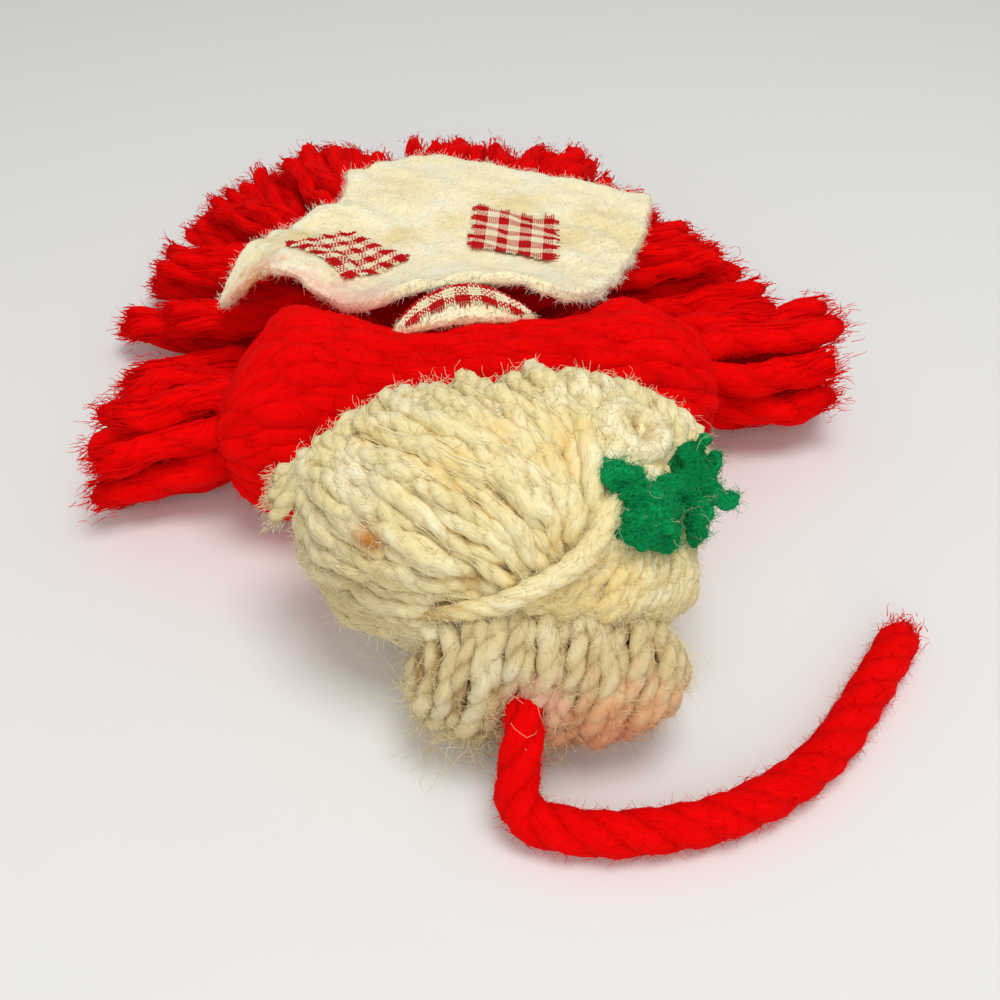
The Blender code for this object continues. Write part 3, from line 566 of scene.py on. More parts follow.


# %% [markdown]
# Yarn and felt are matte, with a soft sheen for the fluff and almost no gloss. Light enters the red
# yarn a little, so it has some subsurface light and its hollows stay red. The cream yarn has none,
# because the rise that its points keep already gives its hollows a painted warm shade.

# %% Yarn and felt
PLAIN_TINT = (1, 1, 1, 1)
YARN_RELIEF = 0.8
FELT_RELIEF = 0.9


def place_group(tree, group, **values):
    """A node group placed in a material, with its values."""
    return set_inputs(add_node(tree, "ShaderNodeGroup", node_tree=group), **values)


def new_material(name, **values):
    """A material, its node tree and its shader with these values."""
    material = bpy.data.materials.new(name)
    material.use_nodes = True
    tree = material.node_tree
    return material, tree, set_inputs(tree.nodes["Principled BSDF"], **values)


def soft_material(name, sheen, sheen_tint, glow, glow_radius):
    """A material with the shader of a soft matte surface."""
    return new_material(name, Roughness=0.92, Specular_IOR_Level=0.05, Sheen_Weight=sheen,
                        Sheen_Tint=sheen_tint, Sheen_Roughness=0.45, Subsurface_Weight=glow,
                        Subsurface_Radius=glow_radius, Subsurface_Scale=0.0012)


def with_tint_spots(tree, finish, tint_spots):
    """The finish with tints over it, some real stains and some painted shade and bounce light: a tone, a place, a
    radius and a strength each.
    """
    for tone, place, radius, strength in tint_spots:
        spot = place_group(tree, tint_spot, Stain=tone, Place=place, Radius=radius, Strength=strength)
        tree.links.new(finish, spot.inputs["Under"])
        finish = spot.outputs["Color"]
    return finish


def add_relief(tree, shader, height, strength, depth):
    """Relief that only the light sees, for what is too fine to model."""
    relief = set_inputs(add_node(tree, "ShaderNodeBump"), Strength=strength, Distance=depth)
    tree.links.new(height, relief.inputs["Height"])
    tree.links.new(relief.outputs["Normal"], shader.inputs["Normal"])


def yarn_material(name, main, light, deep, hollow=None, across=20.0, along=24.0, bump=0.00012, patch=260.0,
                  sheen=0.15, sheen_tint=PLAIN_TINT, glow=0.25, glow_radius=(1, 0.5, 0.25), tint_spots=()):
    """Streaked, mottled yarn, with painted shade in its hollows and tints at given places."""
    material, tree, shader = soft_material(name, sheen, sheen_tint, glow, glow_radius)
    fibres = place_group(tree, streaks, Across=across, Along=along).outputs["Streak"]
    colour = place_group(tree, mottle, Main=main, Light=light, Deep=deep, Scale=patch)
    tree.links.new(fibres, colour.inputs["Streak"])
    if hollow:
        set_inputs(colour, Hollow=hollow)
        rise = add_node(tree, "ShaderNodeAttribute", attribute_name="rise")
        tree.links.new(rise.outputs["Fac"], colour.inputs["Rise"])
    tree.links.new(with_tint_spots(tree, colour.outputs["Color"], tint_spots), shader.inputs["Base Color"])
    add_relief(tree, shader, fibres, YARN_RELIEF, bump)
    return material


def felt_material(name, main, light, deep, tint_spots=(), bump=0.00022, sheen=0.3, sheen_tint=PLAIN_TINT,
                  glow=0.25, glow_radius=(1, 0.7, 0.45)):
    """Felt: a mat of fibres with no direction, so its relief is one fine twisted noise."""
    material, tree, shader = soft_material(name, sheen, sheen_tint, glow, glow_radius)
    places = add_node(tree, "ShaderNodeTexCoord").outputs["Object"]
    mat = add_noise(tree, places, Scale=1900.0, Detail=5.0, Distortion=1.6).outputs["Fac"]
    colour = place_group(tree, mottle, Main=main, Light=light, Deep=deep, Scale=240.0)
    tree.links.new(mat, colour.inputs["Streak"])
    tree.links.new(with_tint_spots(tree, colour.outputs["Color"], tint_spots), shader.inputs["Base Color"])
    add_relief(tree, shader, mat, FELT_RELIEF, bump)
    return material


# %% [markdown]
# Each finish has a main tone, a lighter one and a deeper one, and cream yarn has one more, painted
# shade for its hollows. The bun's tones are those of the same cream yarn painted darker and warmer,
# as painted shade. The other tones are a little brighter than they look on the real doll, because a
# deep surface of strands shades itself.

# %% Tones
RED = (0.84, 0.0006, 0.0006, 1)
RED_LIGHT = (0.90, 0.0012, 0.0010, 1)
RED_DEEP = (0.66, 0.0002, 0.0003, 1)
CREAM = (0.86, 0.75, 0.40, 1)
CREAM_LIGHT = (0.97, 0.92, 0.68, 1)
CREAM_DEEP = (0.72, 0.55, 0.24, 1)
# Painted shade for the cream yarn's hollows and the felted curl's hole.
CREAM_HOLLOW_SHADE = (0.56, 0.36, 0.11, 1)
# Painted shade for the hair's left side.
CREAM_SIDE_SHADE = (0.50, 0.38, 0.19, 1)
WOOL = (0.92, 0.82, 0.52, 1)
# The bun's tones: the hair's cream yarn painted darker and warmer, as painted shade.
BUN_MAIN = (0.76, 0.63, 0.33, 1)
BUN_LIGHT = (0.88, 0.80, 0.56, 1)
BUN_DEEP = (0.56, 0.40, 0.19, 1)
BUN_HOLLOW_SHADE = (0.42, 0.25, 0.09, 1)
GREEN = (0.001, 0.23, 0.060, 1)
GREEN_LIGHT = (0.006, 0.46, 0.145, 1)
GREEN_DEEP = (0.000, 0.065, 0.015, 1)
GREEN_FIBRE = (0.002, 0.35, 0.100, 1)
# Painted red bounce light from the cord on the bun.
PEACH = (0.82, 0.36, 0.17, 1)
PINK = (0.88, 0.48, 0.38, 1)
# Painted red bounce light and shade under the apron's lifted lip.
BOUNCE_ORANGE = (0.88, 0.28, 0.06, 1)
# Painted shade for a hole in the hair.
HOLE_SHADE_BROWN = (0.50, 0.19, 0.03, 1)
# Gold: painted shade on the hair, real stains and glue on the apron.
GOLD = (0.84, 0.60, 0.20, 1)
WHITE = (0.92, 0.82, 0.52, 1)
RED_TINT = (1, 0.04, 0.03, 1)
print("tones of red, cream, the bun and green are set")

# %% [markdown]
# The bun is painted peach at its lower right, as painted red bounce light from the cord, and pink
# round the notch where the cord leaves it. The hair gets painted shade: gold where strands gap and
# in the crook of the crown, dark in a hole and in the felted curl's hole, and brown at its left side.
# A tint is a tone, a place, a radius and a strength.

# %% Yarn, felt and fluff materials
# The bun's peach place takes painted red bounce light from the cord; the notch place is pink.
BUN_RED_BOUNCE = (0.0068, -0.0432, 0.0042)
NOTCH_PINK = (-0.0012, -0.0418, 0.0105)
# Places of painted shade on the hair: a hole, the curl's hole, the left side, gaps between strands and the crook of the
# crown.
HAIR_HOLE = (-0.0139, -0.0296, 0.0219)
CURL_HOLE = (0.0114, -0.0250, 0.0280)
HAIR_SHADED_SIDE = (-0.0166, -0.0272, 0.0135)
HAIR_GAPS = ((-0.0121, -0.0212, 0.0266), (-0.0060, -0.0274, 0.0273), (0.0033, -0.0282, 0.0281),
             (0.0050, -0.0263, 0.0295), (-0.0013, -0.0248, 0.0297))
CROWN_SHADE = (0.0050, -0.0335, 0.0175)
RED_FINISH = {"sheen": 0.03, "sheen_tint": RED_TINT, "glow_radius": (1, 0.05, 0.05)}
CREAM_FINISH = {"glow": 0.0, "bump": 0.00008}
FLUFF_FINISH = {"glow": 0.0, "bump": 0.00001, "patch": 900.0}

red_yarn = yarn_material("red_yarn", RED, RED_LIGHT, RED_DEEP, **RED_FINISH)
red_cord = yarn_material("red_cord", RED, RED_LIGHT, RED_DEEP, across=26, along=60, **RED_FINISH)
# All of the cream yarn's tints are painted shade.
cream_yarn = yarn_material(
    "cream_yarn", CREAM, CREAM_LIGHT, CREAM_DEEP, CREAM_HOLLOW_SHADE, **CREAM_FINISH,
    tint_spots=((CREAM_SIDE_SHADE, HAIR_SHADED_SIDE, 0.0160, 0.6), (GOLD, CROWN_SHADE, 0.0090, 0.65),
            *((GOLD, place, 0.0032, 0.6) for place in HAIR_GAPS), (HOLE_SHADE_BROWN, HAIR_HOLE, 0.0026, 1.0)),
)
# The bun: painted shade in its tones and hollows, painted red bounce light in its peach.
bun_yarn = yarn_material(
    "bun_yarn", BUN_MAIN, BUN_LIGHT, BUN_DEEP, BUN_HOLLOW_SHADE, along=200, **CREAM_FINISH,
    tint_spots=((PEACH, BUN_RED_BOUNCE, 0.0130, 0.90), (PINK, NOTCH_PINK, 0.0045, 0.7)),
)
# Painted shade on the wool: gold in the crook of the crown and dark in the curl's hole.
cream_wool = felt_material("cream_wool", WOOL, CREAM_LIGHT, CREAM, bump=0.00010, sheen=0.15, glow=0.0,
                           tint_spots=((GOLD, CROWN_SHADE, 0.0130, 0.75), (CREAM_HOLLOW_SHADE, CURL_HOLE, 0.0026, 0.9)))
green_felt = felt_material("green_felt", GREEN, GREEN_LIGHT, GREEN_DEEP, bump=0.00040, sheen=0.1,
                           sheen_tint=(0.3, 1, 0.5, 1), glow=0.05, glow_radius=(0.2, 1, 0.3))


def fluff_material(name, tone, sheen_tint=PLAIN_TINT):
    """Plain thin fibres: too thin for any pattern but a change of tone."""
    lighter = tuple(min(1, value * 1.15) for value in tone[:3]) + (1,)
    darker = tuple(value * 0.8 for value in tone[:3]) + (1,)
    return yarn_material(name, tone, lighter, darker, sheen_tint=sheen_tint, **FLUFF_FINISH)


red_fluff = fluff_material("red_fluff", RED, RED_TINT)
cream_fluff = fluff_material("cream_fluff", WHITE)
# The bun's fluff takes the same painted red bounce light and pink.
bun_fluff = yarn_material("bun_fluff", CREAM, WHITE, CREAM_DEEP, **FLUFF_FINISH,
                          tint_spots=((PEACH, BUN_RED_BOUNCE, 0.0125, 0.75), (PINK, NOTCH_PINK, 0.0045, 0.5)))
green_fluff = fluff_material("green_fluff", GREEN_FIBRE, (0.3, 1, 0.4, 1))
print("materials:", len(bpy.data.materials))

# %% [markdown]
# The hanging cord leaves the near side of the bun, drops to the surface and lies there in one loose
# curve to its cut end. The route is the real cord's, at its whole length. It is a thick three-ply
# cord, so the plies wind round that route.

# %% Hanging cord
CORD_YARN = 0.0043
CORD_PITCH = 0.0110
CORD_ROUTE = (
    (-0.0012, -0.0372, 0.0086),
    (-0.0018, -0.0402, 0.0095),
    (-0.0024, -0.0426, 0.0082),
    (-0.0032, -0.0444, 0.0056),
    (-0.0032, -0.0458, 0.0033),
    (-0.0014, -0.0472, 0.0024),
    (0.0022, -0.0486, 0.0023),
    (0.0077, -0.0494, 0.0023),
    (0.0161, -0.0488, 0.0023),
    (0.0252, -0.0449, 0.0023),
    (0.0330, -0.0380, 0.0023),
    (0.0396, -0.0315, 0.0023),
)
UNDER_HALF = 0.48
CORD_SLIM_AT_NOTCH = ((0.002, 0.012), (0.8, 1.0))
CORD_ROUGH = (0.00006, 0.0016)
CORD_FLUFF = 3600
CORD_BRUSH = 260
chance = np.random.default_rng(11)
cord_route = smooth(CORD_ROUTE, 0.0010)
cord_length = reach_of(cord_route)[-1]
cord_radius = CORD_YARN * UNDER_HALF * np.interp(reach_of(cord_route), *CORD_SLIM_AT_NOTCH)
cord_lines = strand(cord_route, cord_radius, 3, CORD_PITCH, fray=0.25, loft=0.9)
cord_mesh = roughen(lines_mesh("cord", cord_lines, rounds=5), *CORD_ROUGH, chance)
cord = add_piece("hanging_cord_yarn", cord_mesh, red_cord, "head", "red_yarn", "hanging_cord")

cord_heading = unit(cord_route[-1] - cord_route[-4])
cord_fibres = fluff(cord, CORD_FLUFF, 0.0015, 0.14, chance, pieces=2)
cord_fibres += cut_end(cord_route[-1] - cord_heading * 0.0008, cord_heading, 0.0018, CORD_BRUSH, 0.0012, chance)
cord_fluff = add_fluff("hanging_cord_fluff", cord_fibres, red_fluff, "head", "red_yarn")
print(f"cord {cord_length * 1000:.1f} mm long")

# %% [markdown]
# The chest is a roll of red yarn that lies across the doll. Its strands run from side to side round
# an oval and draw together at the two ends. A plain roll just inside them fills the chinks.

# %% Chest form
YARN_STEP = 0.0012
ROLL_FLOOR = 0.0002
chest_low, chest_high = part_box("chest_roll")
CHEST_HALF_LENGTH = (chest_high.x - chest_low.x) / 2
CHEST_HALF_DEPTH = (chest_high.y - chest_low.y) / 2
CHEST_TOP = chest_high.z
CHEST_HALF_HEIGHT = 0.0110
CHEST_CENTRE = CHEST_TOP - CHEST_HALF_HEIGHT
CHEST_FULLNESS = 3.2
print("chest half length, depth and height:", CHEST_HALF_LENGTH, CHEST_HALF_DEPTH, CHEST_HALF_HEIGHT)


def full_share(share, fullness):
    """How wide a swelled roll still is at a share of its half length."""
    return np.maximum(0, 1 - np.abs(share) ** fullness) ** (1 / fullness)


def chest_line(angle, reach_share, inset):
    """A line along the chest at one angle round it, set in from the surface."""
    share = np.linspace(-reach_share, reach_share, 40)
    width = full_share(share, CHEST_FULLNESS)
    depth = np.maximum(0, CHEST_HALF_DEPTH * width - inset)
    height = np.maximum(0, CHEST_HALF_HEIGHT * width - inset)
    line = np.column_stack((share * CHEST_HALF_LENGTH, np.cos(angle) * depth,
                            CHEST_CENTRE + np.sin(angle) * height))
    line[:, 2] = np.maximum(line[:, 2], inset)
    return line


def roll_mesh(half_length, half_depth, half_height, centre, fullness, around=48, rows=32):
    """A plain swelled roll along X."""
    bm = bmesh.new()
    bmesh.ops.create_uvsphere(bm, u_segments=around, v_segments=rows, radius=1)
    bm.transform(Matrix.Rotation(math.radians(90), 4, "Y"))
    for vert in bm.verts:
        angle = math.atan2(vert.co.z, vert.co.y)
        width = min(1, math.hypot(vert.co.y, vert.co.z)) ** (2 / fullness)
        vert.co.x = math.copysign(abs(vert.co.x) ** (2 / fullness), vert.co.x) * half_length
        vert.co.y = width * math.cos(angle) * half_depth
        vert.co.z = width * math.sin(angle) * half_height
    bmesh.ops.translate(bm, verts=bm.verts, vec=centre)
    for vert in bm.verts:
        vert.co.z = max(vert.co.z, ROLL_FLOOR)
    return mesh_of(bm, "roll")


def join_meshes(name, *meshes):
    """Several meshes as one."""
    bm = bmesh.new()
    for mesh in meshes:
        bm.from_mesh(mesh)
    return mesh_of(bm, name)


# %% [markdown]
# The real roll isn't even: it bulges on its far side where the arms are pushed in. So the strands
# and the bed are swelled there, in soft rounds near both ends.

# %% Chest
CHEST_STRANDS = 24
CHEST_YARN = 0.0036
CHEST_REACH = 0.985
CHEST_PITCH = 0.0120
CHEST_LOFT = 1.4
CHEST_BED_INSET = 0.0006
CHEST_SHOULDERS = ((-0.0190, 0.0090, 0.0075, 0.0036), (0.0215, 0.0080, 0.0045, 0.0022))
CHEST_ROUGH = (0.00010, 0.0018)
CHEST_FLUFF = (("short", 8600, 0.08, 2), ("long", 2000, 0.30, 3))


def shouldered(mesh):
    """The roll made fuller on its far side near both ends: a place, a width, a push and a lift each."""
    for vert in mesh.vertices:
        y, z = vert.co.y / CHEST_HALF_DEPTH, (vert.co.z - CHEST_CENTRE) / CHEST_HALF_HEIGHT
        for centre, width, push, lift in CHEST_SHOULDERS:
            near = math.exp(-((vert.co.x - centre) / width) ** 2)
            vert.co.y += push * near * max(0, y)
            vert.co.z += lift * near * max(0, 0.6 * y + 0.8 * z)
    mesh.update()
    return mesh


chance = np.random.default_rng(21)
chest_lines = []
for index in range(CHEST_STRANDS):
    angle = math.tau * (index + 0.5) / CHEST_STRANDS
    line = smooth(chest_line(angle, CHEST_REACH, CHEST_YARN / 2), YARN_STEP)
    line = wander(line, 0.00030, 0.021, chance)
    thick = CHEST_YARN / 2 * uneven(len(line), 0.08, chance)
    chest_lines += strand(line, thick, 2, CHEST_PITCH, chance.uniform(0, math.tau), loft=CHEST_LOFT)
chest_bed = roll_mesh(CHEST_HALF_LENGTH - 0.0010, CHEST_HALF_DEPTH - CHEST_BED_INSET,
                      CHEST_HALF_HEIGHT - CHEST_BED_INSET, (0, 0, CHEST_CENTRE), CHEST_FULLNESS)
chest_mesh = shouldered(join_meshes("chest", lines_mesh("chest_lines", chest_lines), chest_bed))
chest = add_piece("chest_yarn", roughen(chest_mesh, *CHEST_ROUGH, chance), red_yarn, "torso", "red_yarn",
                  "chest_roll")
chest_keep = outside_of((0, 0, CHEST_CENTRE))
for part, count, lift, pieces in CHEST_FLUFF:
    fibres = fluff(chest, count, 0.0020, lift, chance, pieces=pieces, keep=chest_keep)
    add_fluff(f"chest_fluff_{part}", fibres, red_fluff, "torso", "red_yarn")

# %% [markdown]
# Inside, a bundle of strands runs from the neck to the waist, tied with thread at both. The skirt
# is gathered round its lower end. Little of this shows, but from behind it is what holds the doll
# together.

# %% Torso bundle
CORE_STRANDS = 6
CORE_RING = 0.0024
CORE_NECK_RISE = 0.0078
CORE_RISE = 0.0090
CORE_YARN = 0.0034
CORE_PITCH = 0.0100
core_low, core_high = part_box("torso_core")
core_stops = (
    (core_low.y + 0.0004, CORE_NECK_RISE, 0.75), (-0.0108, CORE_NECK_RISE, 0.80), (-0.0040, CORE_RISE, 1.0),
    (0.0060, CORE_RISE, 1.0), (0.0150, CORE_RISE, 1.0), (core_high.y - 0.0004, CORE_RISE, 1.0),
)
core_lines = []
for index in range(CORE_STRANDS):
    angle = math.tau * index / CORE_STRANDS
    offset = np.array((math.cos(angle), 0, math.sin(angle))) * CORE_RING
    line = smooth([np.array((0, y, rise)) + offset * share for y, rise, share in core_stops], YARN_STEP)
    core_lines += strand(line, CORE_YARN / 2, 2, CORE_PITCH, chance.uniform(0, math.tau))
add_piece("torso_yarn", lines_mesh("torso", core_lines), red_yarn, "torso", "red_yarn", "torso_core")


# %% [markdown]
# A tie is one thread, wound three turns round the bundle as a helix. Its place and its width come
# from the plain ring that stands for it in the frame.

# %% Ties
TIE_THREAD = 0.00060
TIE_TURNS = 3
TIE_POINTS = 28


def middle_of(node):
    """The middle of a node's box."""
    low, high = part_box(node)
    return (low + high) / 2


def tie_lines(node, thread, turns, chance):
    """Thread wound a few turns round the bundle, where its plain ring lies."""
    low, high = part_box(node)
    middle = middle_of(node)
    radius = (high.z - low.z) / 2 - thread / 2
    angle = np.linspace(0, math.tau * turns, turns * TIE_POINTS)
    width = (high.y - low.y - thread) / 2
    line = np.column_stack((middle.x + radius * np.cos(angle),
                            middle.y + np.linspace(-width, width, len(angle)),
                            middle.z + radius * np.sin(angle)))
    return strand(evenly(line, 0.0003), thread / 2, 2, 0.0016, chance.uniform(0, math.tau))


for node in ("neck_tie", "waist_tie"):
    tie_mesh = lines_mesh(node, tie_lines(node, TIE_THREAD, TIE_TURNS, chance), 1)
    add_piece(node + "_thread", tie_mesh, red_yarn, "torso", "red_yarn", node)

# %% [markdown]
# The gathered waist is a swelled roll as well, with strands that run along the doll this time, and
# a plain bed just inside them.

# %% Gathered waist
GATHER_STRANDS = 22
GATHER_FULLNESS = 2.6
GATHER_YARN = 0.0030
GATHER_STEP = 0.0011
GATHER_PITCH = 0.0090
GATHER_BED_INSET = 0.001
hub_low, hub_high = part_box("skirt_gather")
hub_middle = middle_of("skirt_gather")
hub_half = (hub_high - hub_low) / 2
inset = GATHER_YARN / 2
gather_lines = []
for index in range(GATHER_STRANDS):
    angle = math.tau * index / GATHER_STRANDS
    share = np.linspace(-0.93, 0.97, 24)
    width = full_share(share, GATHER_FULLNESS)
    line = np.column_stack((hub_middle.x + np.cos(angle) * (hub_half.x - inset) * width,
                            hub_middle.y + share * (hub_half.y - inset),
                            hub_middle.z + np.sin(angle) * (hub_half.z - inset) * width))
    line[:, 2] = np.maximum(line[:, 2], inset + 0.0004)
    gather_lines += strand(smooth(line, GATHER_STEP), inset, 2, GATHER_PITCH, chance.uniform(0, math.tau))
gather_bed = roll_mesh(*(half - GATHER_BED_INSET for half in hub_half), hub_middle, GATHER_FULLNESS, 32, 20)
gather = join_meshes("gather", lines_mesh("gather_lines", gather_lines), gather_bed)
add_piece("skirt_gather_yarn", gather, red_yarn, "torso", "red_yarn", "skirt_gather")

# %% [markdown]
# Each lock of the skirt is a small bundle of strands from the waist, thin where the fan leaves no
# room and full at its cut end. The strands end at different lengths, and their plies open up into
# loose fibres there, as cut yarn does.

# %% Cut yarn
CUT_PITCH = 0.0140
CUT_FRAY = 0.4
CUT_LOFT = 1.35
CUT_LENGTH = 0.0017
CUT_BACK = 0.0012
CUT_WAVE = 0.017
LAID_FIBRE = 0.00010
LAID_OVER = 0.0008
RED_FLUFF = 0.0020


def cut_strand(line, radius, spread, brush, laid, chance):
    """A soft red strand with a brush of fibres at its cut end and others laid along it."""
    lines = strand(line, radius, 2, CUT_PITCH, chance.uniform(0, math.tau), CUT_FRAY, CUT_LOFT)
    heading = unit(line[-1] - line[-3])
    fibres = cut_end(line[-1] - heading * CUT_BACK, heading, spread, brush, CUT_LENGTH, chance)
    return lines, fibres + combed(line, radius, laid, chance, LAID_FIBRE, LAID_OVER)


# %% [markdown]
# A lock's plain solid says where the lock starts and ends and how thick it is. Seven strands fill
# that shape, each at its own place across the lock.

# %% Skirt
LOCK_SPOTS = ((-1.0, -0.15), (-0.52, 0.62), (0.50, 0.58), (1.0, -0.20), (0.34, -0.66), (-0.36, -0.62), (0.02, 0.02))
WAIST_CENTRE = np.array((hub_middle.x, hub_middle.y, 0))


def lock_line(node):
    """Where a lock starts and ends, and how thick it is, from its plain solid."""
    places, normals = vertex_arrays(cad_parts[node].data)
    away = np.linalg.norm((places - WAIST_CENTRE)[:, :2], axis=1)
    order = np.argsort(away)
    start, end = places[order[:8]].mean(axis=0), places[order[-8:]].mean(axis=0)
    thick = (places[:, 2].max() - places[:, 2].min()) / 2
    rise = (places[:, 2].max() + places[:, 2].min()) / 2
    start[2] = end[2] = rise
    return start, end, thick


LOCK_SHARES = np.array((-0.12, 0.10, 0.30, 0.55, 0.80, 1.0))
LOCK_WIDE = np.array((0.50, 0.56, 0.66, 0.78, 0.90, 1.00))
LOCK_HIGH = np.array((0.50, 0.52, 0.54, 0.54, 0.50, 0.46))
LOCK_YARN = np.array((0.38, 0.40, 0.42, 0.44, 0.45, 0.42))
LOCK_DROOP = 0.0030
LOCK_TIP_INSET = 0.0016
LOCK_JITTER = 0.12
LOCK_BRUSH, LOCK_LAID, LOCK_FLUFF = 64, 13, 430
LOCK_ROUGH = (0.00012, 0.0016)
SPREAD_AT = ((-0.95, -0.60, -0.25, 0.30, 0.95), (0.46, 0.52, 1.05, 1.40, 1.15))
REACH_AT = ((-0.98, -0.80, -0.60), (0.935, 0.95, 1.0))


def lock_lines(start, end, thick, droop, chance):
    """The strands of one lock, and the fibres along them and at their cut ends."""
    heading = unit(end - start)
    across = np.cross((0, 0, 1), heading)
    length = np.linalg.norm(end - start) * np.interp(heading[0], *REACH_AT)
    wider = np.interp(heading[0], *SPREAD_AT)
    slim = np.clip(wider, 0.80, 1)
    lines, fibres = [], []
    for side, lift in LOCK_SPOTS:
        reach = length - LOCK_TIP_INSET + chance.uniform(-0.0030, 0.0012)
        side = side * wider + chance.uniform(-LOCK_JITTER, LOCK_JITTER)
        lift = lift + chance.uniform(-LOCK_JITTER, LOCK_JITTER)
        places = [start + heading * reach * share + across * side * wide * thick
                  + np.array((0, 0, lift * high * thick - droop * max(0, share) ** 2))
                  for share, wide, high in zip(LOCK_SHARES, LOCK_WIDE, LOCK_HIGH)]
        line = wander(smooth(places, YARN_STEP), 0.00045, CUT_WAVE, chance)
        radius = np.interp(np.linspace(0, 1, len(line)), np.linspace(0, 1, 6), LOCK_YARN * thick * slim)
        radius *= uneven(len(line), 0.10, chance)
        line[:, 2] = np.maximum(line[:, 2], radius)
        made, loose = cut_strand(line, radius, radius[-1] * 1.1, LOCK_BRUSH, LOCK_LAID, chance)
        lines += made
        fibres += loose
    return lines, fibres


chance = np.random.default_rng(31)
for node in sorted(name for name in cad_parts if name.startswith("skirt_lock")):
    lines, fibres = lock_lines(*lock_line(node), LOCK_DROOP if "upper" in node else 0.0, chance)
    lock_mesh = roughen(lines_mesh(node, lines), *LOCK_ROUGH, chance)
    lock = add_piece(node + "_yarn", lock_mesh, red_yarn, "torso", "red_yarn", node)
    fibres += fluff(lock, LOCK_FLUFF, RED_FLUFF, 0.18, chance, pieces=2)
    add_fluff(node + "_fluff", fibres, red_fluff, "torso", "red_yarn")

# %% [markdown]
# The arms are bundles too, pushed into the ends of the chest. They flare outwards, and the top
# strands of the doll's left arm are cut shorter than the ones below.

# %% Arms
ARM_STRANDS = 8
ARM_YARN = 0.0040
ARM_REACH = 0.0205
ARM_STEP = 0.0013
LEFT_SHORTER = 0.0027
LEFT_TOP_SHORTER = 0.0035
ARM_DROOP = {-1: -0.0020, 1: 0.0002}
ARM_ROOT_STOPS = ((-0.004, 0.0026), (0.003, 0.0044))
ARM_STOPS = ((0.45, 0.3, 0.0052), (0.75, 0.65, 0.0054), (1.0, 1.0, 0.0057))
ARM_SPREAD, ARM_BRUSH, ARM_LAID, ARM_FLUFF = 0.0022, 110, 16, 1900
ARM_ROUGH = (0.00010, 0.0016)


def arm_lines(side, root, chance):
    """The strands of one arm and the fibres of its cut ends. The first strand is the middle one."""
    lines, fibres = [], []
    for number in range(ARM_STRANDS):
        ring = min(number, 1)
        angle = math.tau * number / (ARM_STRANDS - 1)
        reach = ARM_REACH + chance.uniform(-0.0015, 0.0010)
        if side < 0:
            reach -= LEFT_SHORTER + LEFT_TOP_SHORTER * max(0, math.sin(angle) * ring)
        out = np.array((0, math.cos(angle), math.sin(angle))) * ring
        places = [root + np.array((side * inside, 0, 0)) + out * wide for inside, wide in ARM_ROOT_STOPS]
        places += [root + np.array((side * reach * share, 0, ARM_DROOP[side] * sunk)) + out * wide
                   for share, sunk, wide in ARM_STOPS]
        line = wander(smooth(places, ARM_STEP), 0.0005, CUT_WAVE, chance)
        radius = ARM_YARN / 2 * uneven(len(line), 0.10, chance)
        line[:, 2] = np.maximum(line[:, 2], radius)
        made, loose = cut_strand(line, radius, ARM_SPREAD, ARM_BRUSH, ARM_LAID, chance)
        lines += made
        fibres += loose
    return lines, fibres


chance = np.random.default_rng(41)
for name, side in (("arm_left", -1), ("arm_right", 1)):
    lines, fibres = arm_lines(side, np.array(middle_of(name + "_root")), chance)
    nodes = [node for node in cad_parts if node.startswith(name)]
    arm_mesh = roughen(lines_mesh(name, lines), *ARM_ROUGH, chance)
    arm = add_piece(name + "_yarn", arm_mesh, red_yarn, name, "red_yarn", *nodes)
    fibres += fluff(arm, ARM_FLUFF, RED_FLUFF, 0.18, chance, pieces=2)
    add_fluff(name + "_fluff", fibres, red_fluff, name, "red_yarn")

# %% [markdown]
# The hair is cream yarn wound over a ball of wadding. Its rows run from the hairline back to the
# crown, a little to one side. A place on the hair is given by its depth, -1 at the bun and 1 at the
# face, and its turn round the head in degrees, 0 at the doll's right and 90 at the top.

# %% Hair form
HAIR_WIDTH = 0.0410
HAIR_DEPTH = 0.0244
HAIR_HEIGHT = 0.0282
HAIR_CENTRE = np.array((0.0006, -0.0218, 0.0147))
HAIR_FULLNESS = 2.3
HAIR_TAPER = 0.25
HAIR_LEAN = 0.0033
CROWN_FROM, CROWN_OVER = 0.25, 0.7
RIGHT_SHARE, RIGHT_CROWN_DRAW, RIGHT_LOW_DRAW = 0.96, 0.04, 0.09
LEFT_SHARE, LEFT_LOW_DRAW = 0.95, 0.1


def swelled(value, fullness):
    """A cosine or sine pushed outwards, so that a round section becomes a fuller one."""
    return np.copysign(np.abs(value) ** (2 / fullness), value)


def half_width_at(depth, across, up):
    """Half the width of the hair: drawn in a little at the crown's right and at the lower left."""
    crown = np.clip((CROWN_FROM - depth) / CROWN_OVER, 0, 1)
    right = HAIR_WIDTH / 2 * (1 + HAIR_TAPER * depth) * (RIGHT_SHARE - RIGHT_CROWN_DRAW * crown)
    right = right * (1 - RIGHT_LOW_DRAW * np.clip(0.5 - up, 0, 1))
    left = HAIR_WIDTH / 2 * LEFT_SHARE * (1 - LEFT_LOW_DRAW * np.clip(-up, 0, 1))
    return np.where(across > 0, right, left)


